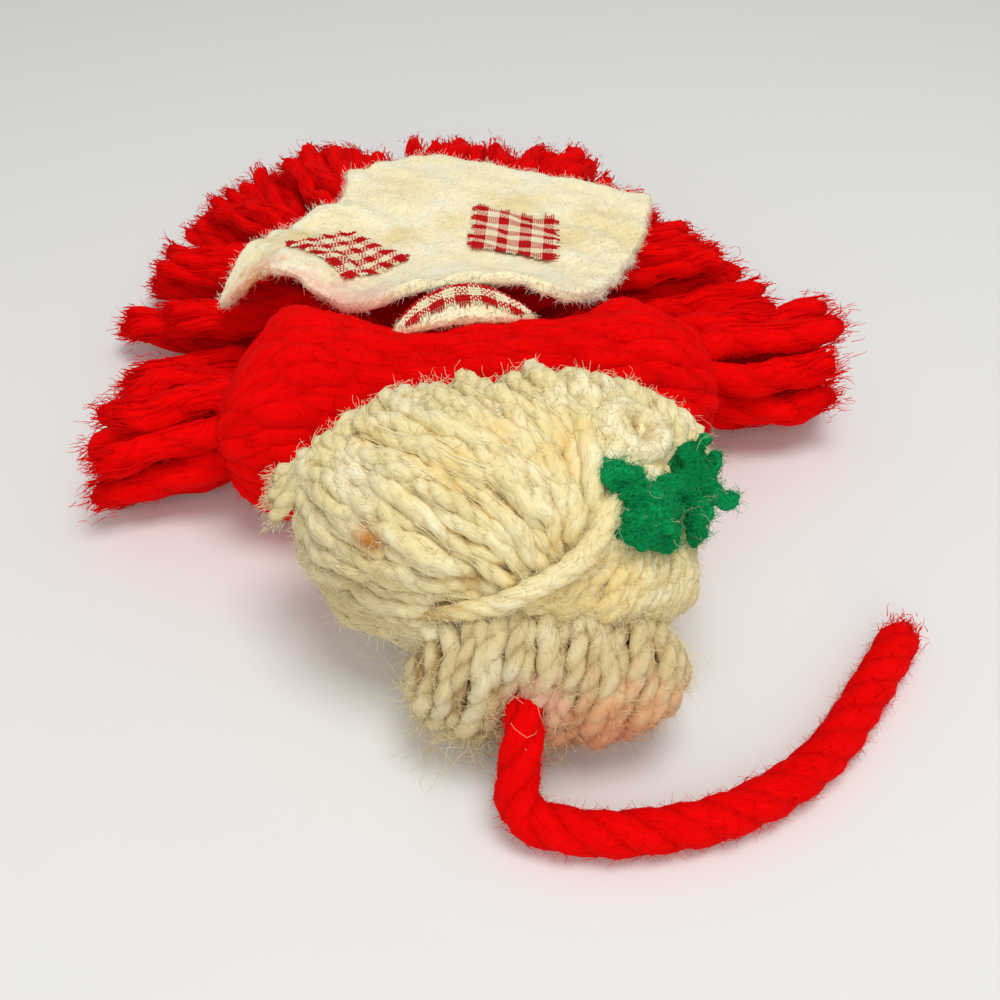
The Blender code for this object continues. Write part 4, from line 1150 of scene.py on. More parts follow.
def on_hair(depth, turn, lift=0.0):
    """Places on the hair and their normals, for arrays of depths and turns."""
    depth, turn, lift = np.broadcast_arrays(np.asarray(depth, float), np.asarray(turn, float),
                                            np.asarray(lift, float))
    section = full_share(depth, HAIR_FULLNESS)
    angle = np.radians(turn)
    across = swelled(np.cos(angle), HAIR_FULLNESS)
    up = swelled(np.sin(angle), HAIR_FULLNESS)
    half_width = half_width_at(depth, across, up)
    place = np.stack((HAIR_CENTRE[0] - HAIR_LEAN * depth + across * half_width * section,
                      HAIR_CENTRE[1] + depth * HAIR_DEPTH / 2,
                      HAIR_CENTRE[2] + up * HAIR_HEIGHT / 2 * section), axis=-1)
    power = HAIR_FULLNESS - 1
    normal = unit(np.stack((
        np.copysign(np.abs(across * section) ** power, across) / half_width,
        np.copysign(np.abs(depth) ** power, depth) / (HAIR_DEPTH / 2),
        np.copysign(np.abs(up * section) ** power, up) / (HAIR_HEIGHT / 2),
    ), axis=-1))
    return place + normal * lift[..., None], normal


def above_hair(places):
    """How high places are above the hair's form, nearly."""
    depth = (places[:, 1] - HAIR_CENTRE[1]) / (HAIR_DEPTH / 2)
    local = places - HAIR_CENTRE
    local[:, 0] += HAIR_LEAN * depth
    up = local[:, 2] / (HAIR_HEIGHT / 2)
    share = np.stack((local[:, 0] / half_width_at(np.clip(depth, -1, 1), local[:, 0], up), depth, up), axis=-1)
    far = (np.abs(share) ** HAIR_FULLNESS).sum(axis=-1) ** (1 / HAIR_FULLNESS)
    return (far - 1) * np.linalg.norm(local, axis=-1) / far


# %% [markdown]
# Under the rows lies a bed of the same form, a little smaller, so that no chink shows through. It
# is a copy of the plain solid's own mesh, merged and drawn in, and so it keeps the opening for the
# face and the hollow at the neck.


# %% Hair bed and wadding
NODE_GAP = 1e-6


def node_copy(node, shrink):
    """A merged copy of a node's mesh, drawn in along its normals."""
    bm = bmesh.new()
    bm.from_mesh(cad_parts[node].data)
    bmesh.ops.remove_doubles(bm, verts=bm.verts, dist=NODE_GAP)
    bm.normal_update()
    for vert in bm.verts:
        vert.co -= vert.normal * shrink
    return mesh_of(bm, node + "_copy")


def draw_in(mesh, deep):
    """Push the points that are less deep than this in the hair's form straight towards its centre."""
    places, normals = vertex_arrays(mesh)
    high = np.maximum(0, above_hair(places.copy()) + deep)
    return with_places(mesh, places - unit(places - HAIR_CENTRE) * high[:, None])


hair_bed = draw_in(node_copy("hair_cap", 0.0004), 0.0009)
add_piece("hair_bed", hair_bed, cream_wool, "head", "cream_yarn", "hair_cap")
head_mesh = draw_in(node_copy("head_core", 0.0002), 0.0020)
head_wadding = add_piece("head_wadding", head_mesh, cream_wool, "head", "cream_yarn", "head_core")

# %% [markdown]
# The rows are one wound yarn on the real doll. Here each is a strand of its own, tucked in at both
# ends, because only the part between shows. A second, looser layer lies over the first one at the
# top and the left, as it does there.

# %% Hair rows
HAIR_YARN = 0.0020
HAIR_PITCH = 0.0046
HAIR_STEP = 0.00060
HAIR_LOFT = 1.32
HAIR_ROWS = 64
OVER_ROWS = 34
HAIR_LIFT = -0.0004
HAIR_TUCK = 0.0022
HAIR_ROUGH = (0.00006, 0.0009)
ROW_ENDS = (-0.990, -0.93, -0.970, -0.88)


def hair_row(turn, start, end, lift, chance, swirl=0.0):
    """The route of one strand from the hairline to the crown, tucked in at both ends."""
    share = (1 - np.cos(np.linspace(0, math.pi, 60))) / 2
    places, normals = on_hair(start + (end - start) * share, turn - swirl * share ** 1.6, lift)
    reach = reach_of(places)
    ends = np.clip(1 - np.minimum(reach, reach[-1] - reach) / HAIR_TUCK, 0, 1) ** 2
    places = places - normals * (ends * HAIR_YARN * 0.8)[:, None]
    return wander(evenly(places, HAIR_STEP), 0.00034, 0.012, chance)


def hair_strands(name, routes, chance, *nodes, fray=0.0, height=above_hair):
    """Soft two-ply strands along routes, as one piece."""
    lines = []
    for route in routes:
        radius = HAIR_YARN / 2 * uneven(len(route), 0.12, chance)
        lines += strand(route, radius, 2, HAIR_PITCH * chance.uniform(0.85, 1.15), chance.uniform(0, math.tau),
                        fray, HAIR_LOFT)
    mesh = mark_rise(lines_mesh(name, lines, 1), routes, HAIR_YARN / 2, height)
    return add_piece(name, roughen(mesh, *HAIR_ROUGH, chance), cream_yarn, "head", "cream_yarn", *nodes)


def swirl_at(turn):
    """Rows at the doll's upper left lean towards its right as they reach the crown."""
    return 18 * math.exp(-((turn - 128) / 30) ** 2)


chance = np.random.default_rng(51)
row_routes = []
for index in range(HAIR_ROWS):
    turn = 360 * index / HAIR_ROWS + chance.uniform(-1.2, 1.2)
    on_face = 40 < turn < 140
    start = 0.80 if on_face else 0.90
    lift = HAIR_LIFT + chance.uniform(-0.0002, 0.0003)
    row_routes.append(hair_row(turn, start, ROW_ENDS[index % 4], lift, chance, swirl_at(turn)))
hair = hair_strands("hair_rows", row_routes, chance)
over_routes = []
for index in range(OVER_ROWS):
    turn = 66 + 4.0 * index + chance.uniform(-2, 2)
    start = chance.uniform(0.10, 0.68)
    end = chance.uniform(-0.94, -0.35)
    lift = HAIR_LIFT + chance.uniform(0.0004, 0.0009)
    over_routes.append(hair_row(turn, start, end, lift, chance, swirl_at(turn) * 1.4))
over_hair = hair_strands("hair_over_rows", over_routes, chance)

# %% [markdown]
# Four details break the rows. The first is the thick strand that sweeps from the holly over the
# bun. It is laid through places that are given as across, up and lifted, as one would point at them
# on the crown.


# %% Sweeping strand
def on_crown(x, z, lift):
    """A place on the near side of the hair, given as across and up in mm, and lifted by some mm."""
    up = (z / 1000 - HAIR_CENTRE[2]) / (HAIR_HEIGHT / 2)
    depth = -0.9
    for _ in range(40):
        across = x / 1000 - HAIR_CENTRE[0] + HAIR_LEAN * depth
        half_width = float(half_width_at(depth, across, up))
        filled = abs(across / half_width) ** HAIR_FULLNESS + abs(up) ** HAIR_FULLNESS
        depth = (depth - max(0.02, 1 - filled) ** (1 / HAIR_FULLNESS)) / 2
    power = HAIR_FULLNESS - 1
    normal = unit(np.array((math.copysign(abs(across / half_width) ** power, across) / half_width,
                            -abs(depth) ** power / (HAIR_DEPTH / 2),
                            math.copysign(abs(up) ** power, up) / (HAIR_HEIGHT / 2))))
    return np.array((x / 1000, HAIR_CENTRE[1] + depth * HAIR_DEPTH / 2, z / 1000)) + normal * lift / 1000


def crown_line(places, chance):
    """A smooth line over the crown through places given as across, up and lift in mm."""
    return wander(smooth([on_crown(*place) for place in places], HAIR_STEP), 0.00020, 0.012, chance)


SWEEP_RADIUS = 0.00106
SWEEP_PITCH = 0.0066
SWEEP_TAPER = ((0, 0.3, 0.75, 1), (0.9, 1.05, 0.85, 0.40))
SWEEP_ROUGH = (0.00006, 0.0010)
SWEEP_PLACES = (
    (8.4, 25.8, 0.0), (7.3, 24.5, 1.0), (5.3, 22.6, 1.4), (3.3, 20.9, 1.5), (0.4, 19.3, 1.5),
    (-2.6, 17.8, 1.4), (-5.7, 16.6, 1.1), (-8.4, 15.3, 0.5), (-10.6, 13.6, -0.6),
)
sweep_line = crown_line(SWEEP_PLACES, chance)
sweep_radius = SWEEP_RADIUS * np.interp(np.linspace(0, 1, len(sweep_line)), *SWEEP_TAPER)
sweep_mesh = lines_mesh("sweep", strand(sweep_line, sweep_radius, 3, SWEEP_PITCH, loft=1.0), 3)
mark_rise(sweep_mesh, [sweep_line], SWEEP_RADIUS)
sweep = add_piece("hair_sweep", roughen(sweep_mesh, *SWEEP_ROUGH, chance), cream_yarn, "head", "cream_yarn",
                  "hair_strand")

# %% [markdown]
# The others are the tuft of a hank's ends that stands out at the doll's left, the rounded lock
# under the holly, and a fan of strands between that lock and the sweep. In the lock and the fan
# each strand is the one beside it, moved on a little at every place.

# %% Tuft, rounded lock and fan
TUFT_STARTS = ((0.10, 134), (0.22, 142), (-0.02, 146), (0.10, 152), (0.35, 150))
TUFT_TIP = np.array((-0.0218, -0.0160, 0.0168))
LOBE_FIRST = ((9.0, 21.0, 0.1), (7.6, 18.8, 1.2), (6.0, 16.6, 1.7), (4.4, 14.6, 0.9), (3.6, 13.0, -0.8))
LOBE_MOVES = ((4.8, -2.2, 0.0), (6.3, -2.4, 0.3), (7.6, -3.0, 0.3), (8.8, -4.0, 0.0), (8.8, -4.6, 0.0))
FAN_FIRST = ((8.0, 23.4, 0.0), (3.8, 19.2, 0.6), (-0.4, 17.2, 0.6), (-4.8, 15.4, 0.0))
FAN_MOVES = ((1.2, -2.2, 0.0), (2.6, -2.2, 0.0), (3.6, -2.0, 0.0), (7.0, -1.4, 0.0))
tuft_routes = []
tuft_fibres = []
for number, (depth, turn) in enumerate(TUFT_STARTS):
    start, normal = on_hair(depth, turn, 0.0002)
    middle, normal = on_hair(0.25 + 0.05 * number, 160, 0.0008)
    tip = TUFT_TIP + np.array((0, 0.0008, 0.0004)) * (number - 2) + chance.normal(0, 0.0003, 3)
    line = smooth([start, (start + middle) / 2 + normal * 0.0006, middle, tip], HAIR_STEP)
    tuft_routes.append(line)
    tuft_fibres += cut_end(tip, unit(line[-1] - line[-4]), 0.0010, 70, 0.0011, chance, 0.00003)
tuft = hair_strands("hair_tuft", tuft_routes, chance, "hair_tuft_left", fray=0.6, height=None)


def crown_rows(first, moves, count, chance):
    """Lines side by side over the crown, from the first one by so many mm at each of its places."""
    return [crown_line([[value + step * share for value, step in zip(*pair)] for pair in zip(first, moves)], chance)
            for share in np.linspace(0, 1, count)]


lobe_routes = crown_rows(LOBE_FIRST, LOBE_MOVES, 11, chance)
lobe = hair_strands("hair_lobe", lobe_routes, chance, "hair_lobe_right", height=None)
fan = hair_strands("hair_fan", crown_rows(FAN_FIRST, FAN_MOVES, 6, chance), chance, height=None)

# %% [markdown]
# The bun is one length of the same yarn, wound round its own wadding. The winding closes over both
# ends, is a little higher at the left, and leaves a notch for the cord.

# %% Bun
BUN_LENGTH = 0.0242
BUN_DEPTH = 0.0114
BUN_HEIGHT = 0.0144
BUN_CENTRE = (0.0012, -0.0355, 0.0083)
BUN_TURN = math.radians(-10.0)
BUN_TURNS = 19
BUN_FULLNESS = 2.6
BUN_END = 1.02
BUN_INSET = 0.0007
BUN_YARN = 0.0021
BUN_PITCH = 0.0050
BUN_LOFT = 1.2
BUN_HUMP = 0.0018
BUN_LEAN = 0.0014
BUN_CLOSING, BUN_CLOSED = 0.12, 0.8
BUN_ROUGH = (0.00007, 0.0010)
NOTCH_PLACE = -0.0028
NOTCH_HALF_WIDTH = 0.0024
NOTCH_DEPTH = 0.40
NOTCH_LEVEL = 0.7

wound = np.linspace(-1.12, 1.12, BUN_TURNS * 40)
along = np.clip(wound, -1, 1)
angle = np.linspace(0, math.tau * BUN_TURNS, BUN_TURNS * 40)
closing = 1 - BUN_CLOSED * (np.abs(wound) - np.abs(along)) / BUN_CLOSING
section = full_share(along / BUN_END, BUN_FULLNESS) * closing
notch = np.exp(-((along * BUN_LENGTH / 2 - NOTCH_PLACE) / NOTCH_HALF_WIDTH) ** 2)
section = section * (1 - NOTCH_DEPTH * (notch * np.clip(NOTCH_LEVEL - np.sin(angle), 0, 1)))
lean = BUN_LEAN * np.sin(angle)
hump = BUN_HUMP * np.sqrt(np.clip(-along, 0, 1)) * np.maximum(0, np.sin(angle))
bun_line = np.column_stack((along * (BUN_LENGTH / 2 - BUN_INSET) + lean * section,
                            (BUN_DEPTH / 2 - BUN_INSET) * section * np.cos(angle),
                            ((BUN_HEIGHT / 2 - BUN_INSET) * np.sin(angle) + hump) * section))
bun_frame = Matrix.Translation(BUN_CENTRE) @ Matrix.Rotation(BUN_TURN, 4, "Z")
bun_line = np.array([bun_frame @ Vector(place) for place in bun_line])
chance = np.random.default_rng(61)
bun_line = wander(evenly(bun_line, HAIR_STEP), 0.00036, 0.013, chance)
bun_radius = BUN_YARN / 2 * uneven(len(bun_line), 0.14, chance)
bun_line[:, 2] = np.maximum(bun_line[:, 2], bun_radius + 0.0001)


def above_bun(places):
    """How high places are above the bun's form, nearly."""
    local = np.array([bun_frame.inverted() @ Vector(place) for place in places])
    section = full_share(np.clip(local[:, 0] / (BUN_LENGTH / 2) / BUN_END, -1, 1), BUN_FULLNESS)
    far = np.hypot(local[:, 1] / (BUN_DEPTH / 2), local[:, 2] / (BUN_HEIGHT / 2))
    return (far - section) * BUN_HEIGHT / 2


bun_mesh = lines_mesh("bun", strand(bun_line, bun_radius, 2, BUN_PITCH, loft=BUN_LOFT))
mark_rise(bun_mesh, [bun_line], BUN_YARN / 2, above_bun)
bun = add_piece("bun_yarn_winding", roughen(bun_mesh, *BUN_ROUGH, chance), bun_yarn, "head", "cream_yarn",
                "bun_winding")
bun_core_mesh = node_copy("bun_core", 0.0002)
bun_wadding = add_piece("bun_wadding", bun_core_mesh, cream_wool, "head", "cream_yarn", "bun_core")

# %% [markdown]
# Felt is loose wool that has matted into one skin. Soft balls along short routes are fused into
# such a skin, smoothed, and given hollows and bumps. The first lump fills the place where hair and
# bun meet, and the second is a small felted curl in the hair.


# %% Felted lumps
RELAX_FACTOR, RELAX_ROUNDS = 0.5, 6


def felted(name, chains, size, chance, rough=0.00012):
    """One skin round balls that follow routes, each a list of places and radii."""
    bm = bmesh.new()
    for places, radii in chains:
        route = smooth(places, 0.0004)
        widths = np.interp(np.linspace(0, 1, len(route)), np.linspace(0, 1, len(radii)), radii)
        for place, radius in zip(route, widths):
            bmesh.ops.create_icosphere(bm, subdivisions=2, radius=radius, matrix=Matrix.Translation(place))
    lump = put_in_scene(name, mesh_of(bm, name))
    fuse = lump.modifiers.new("fuse", "REMESH")
    fuse.mode = "VOXEL"
    fuse.voxel_size = size
    relax = lump.modifiers.new("relax", "SMOOTH")
    relax.factor = RELAX_FACTOR
    relax.iterations = RELAX_ROUNDS
    return roughen(roughen(finished_mesh(lump), rough, 0.0016, chance), rough * 0.4, 0.0005, chance)


CROWN_ROUTE = ((-0.0085, -0.0325, 0.0128), (-0.0020, -0.0335, 0.0136), (0.0060, -0.0340, 0.0136),
               (0.0125, -0.0330, 0.0118))
CROWN_WIDTHS = (0.0014, 0.0018, 0.0018, 0.0014)
crown_mesh = felted("crown_wool", [(CROWN_ROUTE, CROWN_WIDTHS)], 0.00035, chance)
add_piece("crown_wool", crown_mesh, cream_wool, "head", "cream_yarn")

CURL_PLACE = (-0.25, 61)
CURL_RADIUS = 0.0023
CURL_WIDTHS = (0.0013, 0.0016, 0.0014, 0.0016, 0.0013)
curl_place, curl_normal = on_hair(*CURL_PLACE, -0.0001)
curl_side = unit(np.cross(curl_normal, (0, 0, 1)))
curl_up = np.cross(curl_side, curl_normal)
curl_ring = [curl_place + CURL_RADIUS * (math.cos(turn) * curl_side + math.sin(turn) * curl_up)
             for turn in np.linspace(0, math.tau, 10)]
curl_mesh = felted("curl", [(curl_ring, CURL_WIDTHS)], 0.00030, chance)
curl = add_piece("hair_curl_felt", curl_mesh, cream_wool, "head", "cream_yarn", "hair_curl")

# %% [markdown]
# Cream fluff comes last on the head: short fibres all over the hair, long ones combed along its
# strands, and wisps round the bun. Each row gives a name, a count, how far the fibres stand up, how
# strongly they curl, how thick they are and how many pieces each has.

# %% Cream fluff
HAIR_FLUFF = (("flat", 6800, 0.04, 0.8, FIBRE, 3), ("loose", 3200, 0.10, 0.9, 0.00002, 4))
chance = np.random.default_rng(71)
hair_keep = outside_of(HAIR_CENTRE)
lobe_keep = outside_of(middle_of("hair_lobe_right"))
for part, count, lift, bend, thick, pieces in HAIR_FLUFF:
    hair_fibres = fluff(hair, count, 0.0019, lift, chance, bend, thick, pieces, hair_keep)
    add_fluff("hair_fluff_" + part, hair_fibres, cream_fluff, "head", "cream_yarn")
combed_fibres = []
for route in row_routes + over_routes + lobe_routes:
    combed_fibres += combed(route, HAIR_YARN * UNDER_HALF, 7, chance, 0.00005, 0.0002)
add_fluff("hair_combed", combed_fibres, cream_fluff, "head", "cream_yarn")
detail_fibres = tuft_fibres + fluff(tuft, 500, 0.0013, 0.2, chance) + fluff(sweep, 900, 0.0016, 0.10, chance)
detail_fibres += fluff(over_hair, 2800, 0.0018, 0.08, chance, pieces=2, keep=hair_keep)
detail_fibres += fluff(lobe, 1700, 0.0017, 0.10, chance, pieces=2, keep=lobe_keep)
detail_fibres += fluff(fan, 1300, 0.0018, 0.10, chance, pieces=2, keep=hair_keep)
detail_fibres += fluff(curl, 380, 0.0015, 0.05, chance, pieces=3, keep=hair_keep)
add_fluff("hair_detail_fluff", detail_fibres, cream_fluff, "head", "cream_yarn")


def wisp_place(places, normals):
    """The lower left of the bun, where its loose ends are."""
    return (places[:, 0] < 0.0) & (places[:, 2] < 0.0075) & (normals[:, 1] < 0.2)


bun_keep = outside_of(BUN_CENTRE)
bun_fibres = fluff(bun, 6400, 0.0020, 0.14, chance, pieces=2, keep=bun_keep)
bun_fibres += fluff(bun, 520, 0.0066, 0.5, chance, pieces=8, keep=wisp_place)
bun_fibres += fluff(bun, 170, 0.0045, 0.4, chance, pieces=7, keep=bun_keep)
add_fluff("bun_fluff", bun_fibres, bun_fluff, "head", "cream_yarn")

# %% [markdown]
# The sprig is felted green yarn: a boxy knot and four short fat leaves. Each row gives a place on
# the hair as depth and turn, how high above it, and how thick the felt is there, both in mm.

# %% Holly
HOLLY_SKIN, HOLLY_ROUGH = 0.00026, 0.00026
KNOT_FLUFF, LEAF_FLUFF, STRAYS = 900, 420, 9
chance = np.random.default_rng(81)
SPRIG = {
    "holly_knot": (
        ((-0.70, 65, 1.5, 1.2), (-0.66, 49, 1.5, 1.2)), ((-0.84, 60, 1.5, 1.2), (-0.80, 38, 1.5, 1.2)),
        ((-0.70, 65, 1.5, 1.2), (-0.84, 60, 1.5, 1.2)), ((-0.66, 49, 1.5, 1.2), (-0.80, 38, 1.5, 1.2)),
        ((-0.73, 57, 1.9, 1.9), (-0.77, 51, 1.9, 1.9)),
    ),
    "holly_leaf_left": (
        ((-0.60, 74, 1.0, 1.2), (-0.63, 70, 1.3, 1.5), (-0.65, 65, 1.3, 1.3), (-0.68, 60, 1.2, 0.9)),
    ),
    "holly_leaf_top": (
        ((-0.67, 52, 1.4, 1.2), (-0.60, 48, 1.6, 1.1), (-0.54, 42, 1.8, 1.3), (-0.48, 39, 2.0, 1.5)),
        ((-0.47, 44, 1.8, 1.2), (-0.42, 46, 3.0, 1.1), (-0.38, 46, 4.4, 0.5)),
    ),
    "holly_leaf_right": (
        ((-0.48, 37, 2.0, 1.3), (-0.44, 38, 2.4, 1.1), (-0.40, 39, 3.8, 0.5)),
        ((-0.48, 37, 1.8, 1.3), (-0.50, 31, 2.0, 1.2), (-0.52, 29, 3.2, 1.0), (-0.50, 27, 4.2, 0.5)),
    ),
    "holly_leaf_low": (
        ((-0.58, 40, 1.8, 0.9), (-0.62, 37, 2.2, 1.1), (-0.67, 31, 2.4, 1.2), (-0.73, 24, 2.2, 0.6)),
    ),
}
holly_fibres = []
stray_fibres = []
for node, chains in SPRIG.items():
    routes = []
    for chain in chains:
        spots = [on_hair(depth, turn, lift / 1000)[0] for depth, turn, lift, radius in chain]
        routes.append((spots, [radius / 1000 for depth, turn, lift, radius in chain]))
    leaf_mesh = felted(node, routes, HOLLY_SKIN, chance, HOLLY_ROUGH)
    leaf = add_piece(node + "_felt", leaf_mesh, green_felt, "head", "green_yarn", node)
    count = KNOT_FLUFF if node == "holly_knot" else LEAF_FLUFF
    holly_fibres += fluff(leaf, count, 0.0011, 0.22, chance, pieces=2, keep=hair_keep)
    stray_fibres += fluff(leaf, STRAYS, 0.0034, 0.12, chance, curl=0.6, thick=0.000014, pieces=8, keep=hair_keep)
add_fluff("holly_fluff", holly_fibres, green_fluff, "head", "green_yarn")
add_fluff("holly_strays", stray_fibres, cream_fluff, "head", "cream_yarn")

# %% [markdown]
# The face is turned away in the photograph. It is a plain disc of felt with two beads and a thread
# mouth, such as a simple doll has.

# %% Face
def finer(mesh, cuts, amount, chance):
    """The mesh with each face divided, smoothed and roughened a little."""
    bm = bmesh.new()
    bm.from_mesh(mesh)
    bmesh.ops.subdivide_edges(bm, edges=bm.edges, cuts=cuts, use_grid_fill=True)
    for _ in range(2):
        bmesh.ops.smooth_vert(bm, verts=bm.verts, factor=0.5, use_axis_x=True, use_axis_y=True, use_axis_z=True)
    bm.normal_update()
    for vert, push in zip(bm.verts, chance.normal(0, amount, len(bm.verts))):
        vert.co += vert.normal * push
    bm.to_mesh(mesh)
    bm.free()
    return mesh


chance = np.random.default_rng(91)
SKIN = (0.82, 0.50, 0.34, 1)
SKIN_LIGHT = (0.88, 0.60, 0.44, 1)
SKIN_DEEP = (0.66, 0.34, 0.20, 1)
FACE_ROUGH = 0.00002
skin_felt = felt_material("skin_felt", SKIN, SKIN_LIGHT, SKIN_DEEP, bump=0.0001)
face_mesh = finer(node_copy("face", 0.0), 3, FACE_ROUGH, chance)
add_piece("face_felt", face_mesh, skin_felt, "head", "skin_felt", "face")

bead, bead_tree, bead_shader = new_material("black_bead", Roughness=0.12, Coat_Weight=0.4)
bead_tone = place_group(bead_tree, mottle, Main=(0.010, 0.010, 0.012, 1), Light=(0.030, 0.028, 0.030, 1),
                        Deep=(0.004, 0.004, 0.005, 1), Scale=900.0)
bead_tree.links.new(bead_tone.outputs["Color"], bead_shader.inputs["Base Color"])
for node in ("eye_left", "eye_right"):
    low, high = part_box(node)
    bm = bmesh.new()
    bmesh.ops.create_uvsphere(bm, u_segments=24, v_segments=16, radius=(high.x - low.x) / 2)
    bmesh.ops.translate(bm, verts=bm.verts, vec=middle_of(node))
    add_piece(node + "_bead", mesh_of(bm, node), bead, "head", "black_bead", node)

# %% [markdown]
# The mouth is a thin twisted thread along the plain line's own curve, which is read from the points
# of its mesh at seven places.

# %% Mouth
mouth_places, mouth_normals = vertex_arrays(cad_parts["mouth"].data)
mouth_low, mouth_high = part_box("mouth")
mouth_line = []
for share in np.linspace(0.04, 0.96, 7):
    x = mouth_low.x + (mouth_high.x - mouth_low.x) * share
    near = mouth_places[np.argsort(np.abs(mouth_places[:, 0] - x))[:10]]
    mouth_line.append((x, near[:, 1].mean(), near[:, 2].mean()))
mouth_strand = strand(smooth(mouth_line, 0.00018), 0.00036, 2, 0.0013)
add_piece("mouth_thread", lines_mesh("mouth", mouth_strand, 1), red_yarn, "head", "red_yarn", "mouth")

# %% [markdown]
# The apron is one wavy sheet of felt. A merged copy of its plain solid gives the waves and lobes,
# and dividing and roughening it gives the felt. Old stains and glue show yellow, and its near edge
# is pink beside the red yarn. Orange under the lifted left lip is painted red bounce light and shade.

# %% Apron felt
chance = np.random.default_rng(101)
FELT_WHITE = (1.00, 0.91, 0.58, 1)
FELT_LIGHT = (1.00, 0.97, 0.78, 1)
FELT_PALE = (1.0, 0.98, 0.88, 1)
FELT_DEEP = (0.96, 0.80, 0.45, 1)
FAINT_GOLD = (0.92, 0.72, 0.32, 1)
# Orange is painted red bounce light and shade under the left lip; pink lies on the near edge; gold is old stains and
# glue.
FELT_STAINS_AND_BOUNCE = (
    (PINK, (-0.0128, 0.0100, 0.0195), 0.0090, 0.90), (PINK, (-0.0180, 0.0145, 0.0190), 0.0060, 0.65),
    (BOUNCE_ORANGE, (-0.0230, 0.0175, 0.0175), 0.0088, 1.00), (PINK, (-0.0265, 0.0205, 0.0160), 0.0045, 0.35),
    (GOLD, (-0.0148, 0.0266, 0.0206), 0.0095, 0.65), (GOLD, (-0.0046, 0.0293, 0.0181), 0.0045, 0.55),
    (GOLD, (0.0115, 0.0362, 0.0179), 0.0060, 0.50), (GOLD, (0.0166, 0.0255, 0.0182), 0.0050, 0.50),
    (FAINT_GOLD, (0.0218, 0.0308, 0.0181), 0.0060, 0.60),
    (FAINT_GOLD, (0.0243, 0.0241, 0.0179), 0.0054, 0.55),
    (FAINT_GOLD, (-0.0030, 0.0430, 0.0165), 0.0066, 0.45),
    (FAINT_GOLD, (0.0020, 0.0330, 0.0170), 0.0045, 0.45),
)
cream_felt = felt_material("cream_felt", FELT_WHITE, FELT_LIGHT, FELT_DEEP, tint_spots=FELT_STAINS_AND_BOUNCE, glow=0.0)
felt_fluff = yarn_material("felt_fluff", FELT_LIGHT, FELT_PALE, FELT_WHITE, **FLUFF_FINISH, tint_spots=FELT_STAINS_AND_BOUNCE)
print("stains on the felt:", len(FELT_STAINS_AND_BOUNCE))

# %% [markdown]
# The sheet is pushed up or down a little where the real one waves more than the plain solid does.
# Its fluff is short, and a denser row of it stands out of the cut edge.

# %% Apron
SHEET_PUSHES = (((-0.0275, 0.0225), 0.0048, -0.0048), ((-0.0185, 0.0165), 0.0052, 0.0036),
                ((-0.0130, 0.0360), 0.0030, 0.0026), ((0.0020, 0.0420), 0.0090, 0.0008))
SHEET_GROWTH = -0.0001
EDGE_TILT = 0.55


def pushed(mesh):
    """The sheet lifted or lowered in soft rounds, each a place, its radius and the push."""
    for vert in mesh.vertices:
        for (x, y), radius, push in SHEET_PUSHES:
            vert.co.z += push * math.exp(-((vert.co.x - x) ** 2 + (vert.co.y - y) ** 2) / radius ** 2)
    mesh.update()
    return mesh


apron_mesh = finer(pushed(node_copy("apron_felt", SHEET_GROWTH)), 4, FACE_ROUGH, chance)
roughen(roughen(apron_mesh, 0.00020, 0.0040, chance), 0.00005, 0.0009, chance)
apron = add_piece("apron_sheet", apron_mesh, cream_felt, "apron", "cream_felt", "apron_felt")
apron_fibres = fluff(apron, 6800, 0.0009, 0.14, chance, pieces=2)


def rim_keep(places, normals):
    """The edge of a sheet, where its surface turns from top to underside."""
    return np.abs(normals[:, 2]) < EDGE_TILT


apron_fibres += fluff(apron, 1900, 0.0011, 0.35, chance, pieces=2, keep=rim_keep)
apron_fluff = add_fluff("apron_fluff", apron_fibres, felt_fluff, "apron", "cream_felt")

# %% [markdown]
# The bib is a strip of the same felt that arches over the chest's edge. It is a copy of its plain
# solid too, bent into that arch.

# %% Bib
BIB_BULGE = 0.0014
BIB_DROP = 0.0010
BIB_NARROWING = 0.72
bib_low, bib_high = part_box("apron_bib")


def arched(mesh):
    """The bib bent into an arch: its near edge stays straight and its ends are narrow and low."""
    for vert in mesh.vertices:
        out = min(1, (vert.co.x / bib_high.x) ** 2)
        far = (vert.co.y - bib_low.y) / (bib_high.y - bib_low.y)
        vert.co.y = bib_low.y + (vert.co.y - bib_low.y) * (1 - BIB_NARROWING * out)
        vert.co.z += BIB_BULGE * (1 - out) * far - BIB_DROP * out
    mesh.update()
    return mesh


bib_mesh = finer(arched(node_copy("apron_bib", SHEET_GROWTH)), 3, FACE_ROUGH, chance)
roughen(bib_mesh, 0.00008, 0.0020, chance)
bib = add_piece("apron_bib_felt", bib_mesh, cream_felt, "torso", "cream_felt", "apron_bib")
add_fluff("apron_bib_fluff", fluff(bib, 900, 0.0009, 0.2, chance, pieces=2), cream_fluff, "torso", "cream_felt")

# %% [markdown]
# Gingham is woven from red and white threads: where red crosses red the square is red, where white
# crosses white it is white, and where they meet it is mixed. So the patches are really woven here,
# thread over thread, and the frayed edges come from threads that run past the last crossing.

